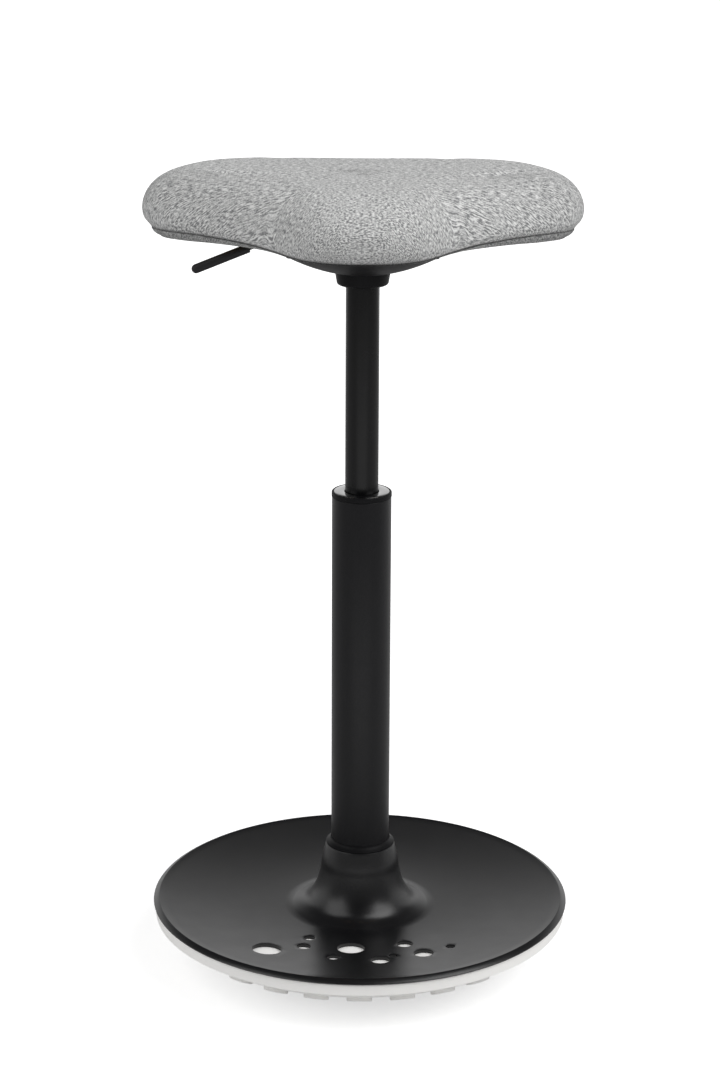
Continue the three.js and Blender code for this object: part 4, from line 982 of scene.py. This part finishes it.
class STOOL_OT_seat(bpy.types.Operator):
    """Sew the saddle pad, blow it up as cloth and pucker its seam"""

    bl_idname = "stool.seat"
    bl_label = "Seat pad"

    def execute(self, context):
        seat = context.scene.stool_seat
        outline = self.outline(seat)
        rings, crease_ring = self.rings(seat, outline)
        piece = self.mesh(rings, seat)
        self.swell(piece, seat, crease_ring, len(outline))
        self.pucker(piece, seat, crease_ring, len(outline))
        # Painted shade on the seam and the underside below it
        self.paint_shade(piece, crease_ring, len(outline))
        modify(piece, "SUBSURF", levels=1, render_levels=1)
        shade(piece, 60)
        finish_piece(piece, materials["knit"], "seat", "melange_fabric", "seat_cover", "foam_pad")
        return {"FINISHED"}

    def outline(self, seat):
        """Evenly spaced points on the crease line."""
        half = [(across * seat.half_width, along * (seat.nose_reach if along < 0 else seat.back_reach))
                for across, along in CREASE_SHARES]
        mirrored = [(-x, y) for x, y in half[-2:0:-1]]
        dense = through(half + mirrored, 24, closed=True)
        lengths = [0.0]
        for a, b in zip(dense, dense[1:] + dense[:1]):
            lengths.append(lengths[-1] + (b - a).length)
        spaced = []
        at = 0
        for i in range(seat.outline_steps):
            goal = lengths[-1] * i / seat.outline_steps
            while lengths[at + 1] < goal:
                at += 1
            share = (goal - lengths[at]) / (lengths[at + 1] - lengths[at])
            spaced.append(dense[at].lerp(dense[(at + 1) % len(dense)], share))
        return spaced

    def ring(self, seat, outline, draw_in, height, share_in=0.0, tuck_share=0.0):
        points = []
        for point in outline:
            out = point.length
            facing_nose = max(0.0, -point.y / out)
            tuck = seat.nose_tuck * tuck_share * facing_nose ** NOSE_TUCK_POWER
            scale = (1 - (draw_in + tuck) / out) * (1 - share_in)
            points.append(Vector((point.x * scale, point.y * scale, height)))
        return points

    def crease_line(self, seat, outline, height):
        """The crease, shallower at the tips of the wings."""
        points = []
        for point in outline:
            tip = max(0.0, abs(point.x) / seat.half_width - FULL_BAND_SHARE) / (1 - FULL_BAND_SHARE)
            depth = CREASE_DEPTH * (1 - (1 - TIP_CREASE_SHARE) * min(1, tip))
            points.append(Vector((point.x, point.y, 0)) * (1 - depth / point.length) + Vector((0, 0, height)))
        return points

    def band_ring(self, seat, outline, draw_in, crease, drop, tuck_share):
        """One line of the band under the crease, which thins towards the nose."""
        ring = self.ring(seat, outline, draw_in, crease, 0, tuck_share)
        for point, flat in zip(ring, outline):
            aside = min(1, abs(flat.x) / (FULL_BAND_SHARE * seat.half_width))
            back = min(1, max(0, flat.y / seat.back_reach))
            point.z -= drop * max(NOSE_BAND_SHARE, aside + (1 - aside) * back)
        return ring

    def rings(self, seat, outline):
        """Rings of the pad from the crown to the pocket round the pan, and the crease's place in them."""
        crease, pan_top = foot("seat_pan") - seat.crease_drop, top("seat_pan") + GAP
        first = seat.bulge * SIDE_SHARES[0][0]
        rings = [self.ring(seat, outline, first, crease + seat.pad_height * up, share)
                 for share, up in CROWN_SHARES[1:]]
        side = through([
            (seat.bulge * across, crease + seat.pad_height * up, 0.0) for across, up in SIDE_SHARES], 4)
        rings += [self.ring(seat, outline, draw_in, height) for draw_in, height, _ in side]
        rings.append(self.crease_line(seat, outline, crease))
        crease_ring = len(rings) - 1
        band = through([(0, 0, 0)] + [
            (seat.bulge * across, seat.band_height * down, tuck) for across, down, tuck in BAND_SHARES], 3)
        rings += [self.band_ring(seat, outline, draw_in, crease, drop, tuck)
                  for draw_in, drop, tuck in band[1:]]
        under = foot("seat_pan") - 3 * GAP
        pocket = under + HEM_THICKNESS
        rings += [self.ring(seat, outline, *line) for line in (
            (HEM_DRAW_IN, under, 0, 1), (HEM_DRAW_IN, pocket, 0, 1), (PAN_INSET, pocket),
            (PAN_INSET, pan_top), (PAN_INSET, pan_top, 0.3), (PAN_INSET, pan_top, 0.7))]
        return rings, crease_ring

    def mesh(self, rings, seat):
        count = len(rings[0])
        crown = foot("seat_pan") - seat.crease_drop + seat.pad_height * CROWN_SHARES[0][1]
        points = [Vector((0, 0, crown))] + [point for ring in rings for point in ring]
        points.append(Vector((0, 0, rings[-1][0].z)))
        faces = []
        for i in range(count):
            after = (i + 1) % count
            faces.append((0, 1 + i, 1 + after))
            for k in range(len(rings) - 1):
                upper, lower = 1 + k * count, 1 + (k + 1) * count
                faces.append((upper + i, lower + i, lower + after, upper + after))
            last = 1 + (len(rings) - 1) * count
            faces.append((len(points) - 1, last + after, last + i))
        data = bpy.data.meshes.new("saddle_cushion")
        data.from_pydata(points, [], faces)
        data.update()
        self.lay_flat(data, points, count, len(rings))
        return new_object("saddle_cushion", data)

    def lay_flat(self, data, points, count, ring_count):
        """Writes where each point of the knit lay before it was pulled down over the pad's sides, from the
        point that its rows bend round."""
        laid = data.attributes.new(LAID_FLAT, "FLOAT_VECTOR", "POINT")
        edge = len(CROWN_SHARES) - 2
        for i in range(count):
            rim, before, after = (points[1 + edge * count + j % count] for j in (i, i - 1, i + 1))
            along = (after - before).normalized()
            facing = Vector((along.y, -along.x, 0))
            ahead = min(1, max(-1, facing.y / STRAIGHT_FACING))
            pull = facing * (1 - STRAIGHT_SHARE * abs(ahead)) + Vector((0, STRAIGHT_SHARE * ahead, 0))
            length, last = 0.0, rim
            for k in range(ring_count):
                place = points[1 + k * count + i]
                if k > edge:
                    length += (place - last).length
                    last = place
                    place = rim + pull * length
                laid.data[1 + k * count + i].vector = (place.x, place.y + ROW_MIDDLE, 0)
        laid.data[0].vector = laid.data[len(points) - 1].vector = (0, ROW_MIDDLE, 0)

    def swell(self, piece, seat, crease_ring, count):
        """Inflates the panel above the crease as cloth, and caps how far each point moves."""
        start = [vertex.co.copy() for vertex in piece.data.vertices]
        make_active(piece)
        pins = piece.vertex_groups.new(name="sewn")
        pins.add(list(range(1 + crease_ring * count, len(start))), 1.0, "REPLACE")
        cloth = piece.modifiers.new("Cloth", "CLOTH")
        for key, value in CLOTH_SETTINGS.items():
            setattr(cloth.settings, key, value)
        cloth.settings.effector_weights.gravity = 0
        cloth.point_cache.frame_start = 1
        cloth.point_cache.frame_end = SIM_FRAMES
        scene = bpy.context.scene
        for number in range(1, SIM_FRAMES + 1):
            scene.frame_set(number)
        bpy.ops.object.modifier_apply(modifier=cloth.name)
        scene.frame_set(1)
        for i, (vertex, was) in enumerate(zip(piece.data.vertices, start)):
            moved = vertex.co - was
            above_seam = crease_ring - (i - 1) // count
            limit = seat.swell * min(1.0, max(0, above_seam) / SEAM_RINGS)
            if moved.length > limit:
                vertex.co = was + moved.normalized() * limit
        piece.vertex_groups.clear()

    def pucker(self, piece, seat, crease_ring, count):
        """Small gathers that the seam pulls into the fabric above and below it."""
        for k in range(crease_ring - GATHER_RINGS, crease_ring + GATHER_RINGS_BELOW + 1):
            fade = 1 - abs(k - crease_ring) / (GATHER_RINGS + 1)
            for i, (x, y) in enumerate(around(count, GATHER_PITCH)):
                vertex = piece.data.vertices[1 + k * count + i]
                out = Vector((vertex.co.x, vertex.co.y, 0)).normalized()
                vertex.co += out * noise.noise((x, y, 0)) * GATHER_DEPTH * fade

    def paint_shade(self, piece, crease_ring, count):
        """Paints shade into the seam's rings and onto the underside below them, darkest round the nose."""
        marks = piece.data.attributes.new(PAINTED_SHADE_ATTRIBUTE, "FLOAT", "POINT")
        for i, vertex in enumerate(piece.data.vertices):
            ring = (i - 1) // count
            if i == 0 or ring < crease_ring - 1:
                continue
            out = math.hypot(vertex.co.x, vertex.co.y)
            facing_nose = max(0.0, -vertex.co.y / max(out, MM))
            under = UNDER_SHADE + NOSE_SHADE * facing_nose ** NOSE_SHADE_POWER
            marks.data[i].value = CREASE_SHADES.get(ring - crease_ring, under)


# Screws that show from below

HEAD_ROUND_SHARE = 0.3
# Length and width of the cross recess, as shares of the head's radius
RECESS_SHARES = (1.1, 0.22)


class STOOL_OT_screws(bpy.types.Operator):
    """Model one cross-recessed screw of each size and copy it to its places"""

    bl_idname = "stool.screws"
    bl_label = "Screws"

    def execute(self, context):
        self.set_of("sole_screw", 4, "base", head=4.2 * MM, head_wall=2.6 * MM, shank=2.2 * MM)
        self.set_of("cover_screw", 3, "seat", head=3.6 * MM, head_wall=2 * MM, shank=1.6 * MM)
        return {"FINISHED"}

    def set_of(self, node, count, body, head, head_wall, shank):
        low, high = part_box(f"{node}_1")
        long = high.z - low.z
        clear_selection()
        bpy.ops.mesh.primitive_cylinder_add(
            vertices=32, radius=head, depth=head_wall, location=(0, 0, head_wall / 2))
        first = named(f"{node}_pattern")
        round_edges(first, head_wall * HEAD_ROUND_SHARE)
        combine(first, posts([(0, 0)], shank, head_wall / 2, long, 24), "UNION")
        for turn in (0, math.pi / 2):
            clear_selection()
            bpy.ops.mesh.primitive_cube_add(size=1)
            recess_long, recess_wide = (head * share for share in RECESS_SHARES)
            blade = place_mesh(bpy.context.object, Matrix.Rotation(turn, 4, "Z") @ Matrix.Diagonal(
                (recess_long, recess_wide, head_wall, 1)))
            combine(first, blade, "DIFFERENCE")
        shade(first)
        for i in range(1, count + 1):
            low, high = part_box(f"{node}_{i}")
            copy = new_object(f"{node}_head_{i}", first.data.copy())
            place_mesh(copy, Matrix.Translation(((low.x + high.x) / 2, (low.y + high.y) / 2, low.z)))
            finish_piece(copy, materials["zinc"], body, "zinc_steel", f"{node}_{i}")
        bpy.data.objects.remove(first)


# Pieces that keep the shape of their solids

KEPT_FINISHES = {
    "rocker_tray": "sole", "ballast_casting": "iron", "mechanism_plate": "powder", "lever_bracket": "powder",
    "taper_hub": "zinc", "floor_washer": "zinc", "retaining_clip": "zinc", "bump_stop": "rubber",
    "bearing_race_lower": "bright", "bearing_race_upper": "bright", "bearing_cage": "bright",
    "piston_rod": "bright", "release_pin": "bright", "pivot_pin": "bright", "piston_head": "nylon",
    "rod_guide": "nylon", "seat_pan": "plywood",
    **{f"{name}_{i}": "zinc" for name in ("ballast_screw", "seat_bolt", "tee_nut") for i in range(1, 5)},
}


class STOOL_OT_inner_pieces(bpy.types.Operator):
    """Give the pieces that keep their shape the finish of their real material"""

    bl_idname = "stool.inner_pieces"
    bl_label = "Inner pieces"

    def execute(self, context):
        for name, finish in KEPT_FINISHES.items():
            data = nodes[name].data
            data.materials.clear()
            data.materials.append(materials[finish])
        return {"FINISHED"}


# Studio

KEY_PLACE = (1.8, -0.95, 2.4)
FILL_PLACE = (-2.0, -1.1, 2.0)
SOFTBOX_SIZE = 2.2
LIGHTS_AIM = Vector((0, 0, 0.4))
# Bands of the floor that glosses see as white, each edge from no glow to full glow along Y: the two edges of
# the band in front of the stool, and the start of the one behind it
FRONT_BEGINS, FRONT_ENDS, BEHIND = (-1.9, -1.4), (-0.45, -0.7), (1.5, 2.5)
# The front band fades out to the sides between these shares of X in Y
FRONT_FAN = (0.35, 1.0)
# Distances from the column over which the floor's glow rises to full
GLOW_DISTANCES = (0.4, 1.6)


class STOOL_OT_stage(bpy.types.Operator):
    """Set up the camera at the picture's angle, the pale floor and the soft lights"""

    bl_idname = "stool.stage"
    bl_label = "Stage"

    def execute(self, context):
        stage = context.scene.stool_stage
        self.camera(stage)
        self.ground(stage)
        self.softbox("key_light", KEY_PLACE, stage.key_power)
        self.softbox("fill_light", FILL_PLACE, stage.fill_power)
        self.sky(stage)
        context.scene.view_settings.view_transform = "Standard"
        return {"FINISHED"}

    def camera(self, stage):
        turn, lift, roll = (math.radians(v) for v in (stage.azimuth, stage.elevation, stage.roll))
        level = Vector((-math.sin(turn), math.cos(turn), 0))
        ahead = level * math.cos(lift) + Vector((0, 0, -math.sin(lift)))
        right = Vector((math.cos(turn), math.sin(turn), 0))
        up = right.cross(ahead)
        place = Vector((0, 0, stage.aim_height)) - ahead * stage.distance
        aim = (ahead * stage.distance - right * stage.aim_aside).normalized()
        aside = (aim.cross(up)).normalized()
        up = aside.cross(aim)
        tilted_right = aside * math.cos(roll) + up * math.sin(roll)
        tilted_up = up * math.cos(roll) - aside * math.sin(roll)
        data = bpy.data.cameras.new("photo_camera")
        data.lens = stage.lens
        data.sensor_width = 36.0
        data.clip_end = 50.0
        camera = new_object("photo_camera", data)
        rows = Matrix((tilted_right, tilted_up, -aim)).transposed()
        camera.matrix_world = Matrix.Translation(place) @ rows.to_4x4()
        bpy.context.scene.camera = camera

    def ground(self, stage):
        """Pale paper that keeps the object's shadow, and glows white where the camera or a gloss sees it."""
        clear_selection()
        bpy.ops.mesh.primitive_plane_add(size=30)
        floor = named("studio_floor")
        material, tree, place = new_material("seamless studio paper")
        paper = add(tree, "ShaderNodeTexNoise", {"Vector": place, "Scale": per(40), "Detail": 2.0})
        colour = tuple(stage.ground_colour)
        parts = add(tree, "ShaderNodeSeparateXYZ", {"Vector": place}).node.outputs
        aside = add(tree, "ShaderNodeMath", {0: parts["X"], 1: parts["Y"]}, operation="DIVIDE")
        aside = add(tree, "ShaderNodeMath", {0: aside}, operation="ABSOLUTE")
        fan = add(tree, "ShaderNodeMapRange", {
            "Value": aside, "From Min": FRONT_FAN[0], "From Max": FRONT_FAN[1], "To Min": 1.0, "To Max": 0.0})
        begins, ends, behind = (
            add(tree, "ShaderNodeMapRange", {"Value": parts["Y"], "From Min": start, "From Max": full})
            for start, full in (FRONT_BEGINS, FRONT_ENDS, BEHIND))
        front = add(tree, "ShaderNodeMath", {0: begins, 1: ends}, operation="MULTIPLY")
        front = add(tree, "ShaderNodeMath", {0: front, 1: fan}, operation="MULTIPLY")
        lit = add(tree, "ShaderNodeMath", {0: front, 1: behind}, operation="MAXIMUM")
        seen = add(tree, "ShaderNodeLightPath").node.outputs
        mirrored = add(tree, "ShaderNodeMath", {
            0: seen["Is Glossy Ray"], 1: seen["Is Transmission Ray"]}, operation="MAXIMUM")
        mirrored = add(tree, "ShaderNodeMath", {0: mirrored, 1: lit}, operation="MULTIPLY")
        glow = add(tree, "ShaderNodeMath", {0: mirrored, 1: seen["Is Camera Ray"]}, operation="MAXIMUM")
        far = add(tree, "ShaderNodeVectorMath", {0: place}, operation="LENGTH")
        level = add(tree, "ShaderNodeMapRange", {
            "Value": far, "From Min": GLOW_DISTANCES[0], "From Max": GLOW_DISTANCES[1],
            "To Min": stage.floor_glow, "To Max": 1.0})
        shader = add(tree, "ShaderNodeBsdfPrincipled", {
            "Base Color": add(tree, "ShaderNodeMix", {
                "Factor": paper, "A": darker(colour, 0.985), "B": colour}, data_type="RGBA"),
            "Roughness": 0.9, "IOR": 1.45, "Emission Color": (1, 1, 1, 1),
            "Emission Strength": add(tree, "ShaderNodeMath", {0: glow, 1: level}, operation="MULTIPLY")})
        add(tree, "ShaderNodeOutputMaterial", {"Surface": shader})
        floor.data.materials.append(material)

    def softbox(self, name, place, power):
        data = bpy.data.lights.new(name, "AREA")
        data.shape = "RECTANGLE"
        data.size = data.size_y = SOFTBOX_SIZE
        data.energy = power
        light = new_object(name, data)
        light.location = place
        towards = LIGHTS_AIM - Vector(place)
        light.rotation_euler = towards.to_track_quat("-Z", "Y").to_euler()

    def sky(self, stage):
        """Even light, stronger off the backdrop. The camera sees white, and glosses see the white backdrop
        behind the object, under a dim ceiling and before a dim room."""
        world = bpy.data.worlds.new("studio")
        bpy.context.scene.world = world
        world.use_nodes = True
        tree = world.node_tree
        tree.nodes.clear()
        direction = add(tree, "ShaderNodeTexCoord", output="Generated")
        parts = add(tree, "ShaderNodeSeparateXYZ", {"Vector": direction}).node.outputs
        backdrop = add(tree, "ShaderNodeMapRange", {
            "Value": parts["Z"], "From Min": 0.35, "From Max": 0.5, "To Min": 1.0, "To Max": 0.06})
        room = add(tree, "ShaderNodeMapRange", {
            "Value": parts["Y"], "From Min": -0.3, "From Max": 0.1, "To Min": 0.2, "To Max": 1.0})
        reflected = add(tree, "ShaderNodeMath", {0: backdrop, 1: room}, operation="MULTIPLY")
        even = add(tree, "ShaderNodeMapRange", {
            "Value": parts["Y"], "From Min": -0.2, "From Max": 0.7,
            "To Min": stage.sky_level, "To Max": stage.back_level})
        seen = add(tree, "ShaderNodeLightPath").node.outputs
        mirrored = add(tree, "ShaderNodeMath", {
            0: seen["Is Glossy Ray"], 1: seen["Is Transmission Ray"]}, operation="MAXIMUM")
        strength = add(tree, "ShaderNodeMix", {
            "Factor": mirrored, "A": even, "B": reflected}, data_type="FLOAT")
        strength = add(tree, "ShaderNodeMix", {
            "Factor": seen["Is Camera Ray"], "A": strength, "B": 1.0}, data_type="FLOAT")
        light = add(tree, "ShaderNodeBackground", {"Color": (1, 1, 1, 1), "Strength": strength})
        add(tree, "ShaderNodeOutputWorld", {"Surface": light})


STEPS = (
    "finishes", "base_dish", "sole", "column", "underside", "lever", "seat", "screws", "inner_pieces",
    "stage")


class STOOL_PT_panel(bpy.types.Panel):
    """Lists the stool's steps"""

    bl_idname = "STOOL_PT_panel"
    bl_label = "Wobble Stool"
    bl_space_type = "VIEW_3D"
    bl_region_type = "UI"
    bl_category = "Stool"

    def draw(self, context):
        for step in STEPS:
            self.layout.operator(f"stool.{step}")
        for group in ("stool_base", "stool_column", "stool_seat", "stool_stage"):
            settings = getattr(context.scene, group)
            box = self.layout.box()
            for name in settings.__annotations__:
                box.prop(settings, name)


CLASSES = (
    StoolBaseSettings, StoolColumnSettings, StoolSeatSettings, StoolStageSettings, STOOL_OT_finishes,
    STOOL_OT_base_dish, STOOL_OT_sole, STOOL_OT_column, STOOL_OT_underside, STOOL_OT_lever, STOOL_OT_seat,
    STOOL_OT_screws, STOOL_OT_inner_pieces, STOOL_OT_stage, STOOL_PT_panel)


def register():
    for each in CLASSES:
        bpy.utils.register_class(each)
    bpy.types.Scene.stool_base = PointerProperty(type=StoolBaseSettings)
    bpy.types.Scene.stool_column = PointerProperty(type=StoolColumnSettings)
    bpy.types.Scene.stool_seat = PointerProperty(type=StoolSeatSettings)
    bpy.types.Scene.stool_stage = PointerProperty(type=StoolStageSettings)


def unregister():
    for group in ("stool_stage", "stool_seat", "stool_column", "stool_base"):
        delattr(bpy.types.Scene, group)
    for each in reversed(CLASSES):
        bpy.utils.unregister_class(each)


def main():
    """Builds everything in order."""
    register()
    for step in STEPS:
        getattr(bpy.ops.stool, step)()


if __name__ == "__main__":
    main()
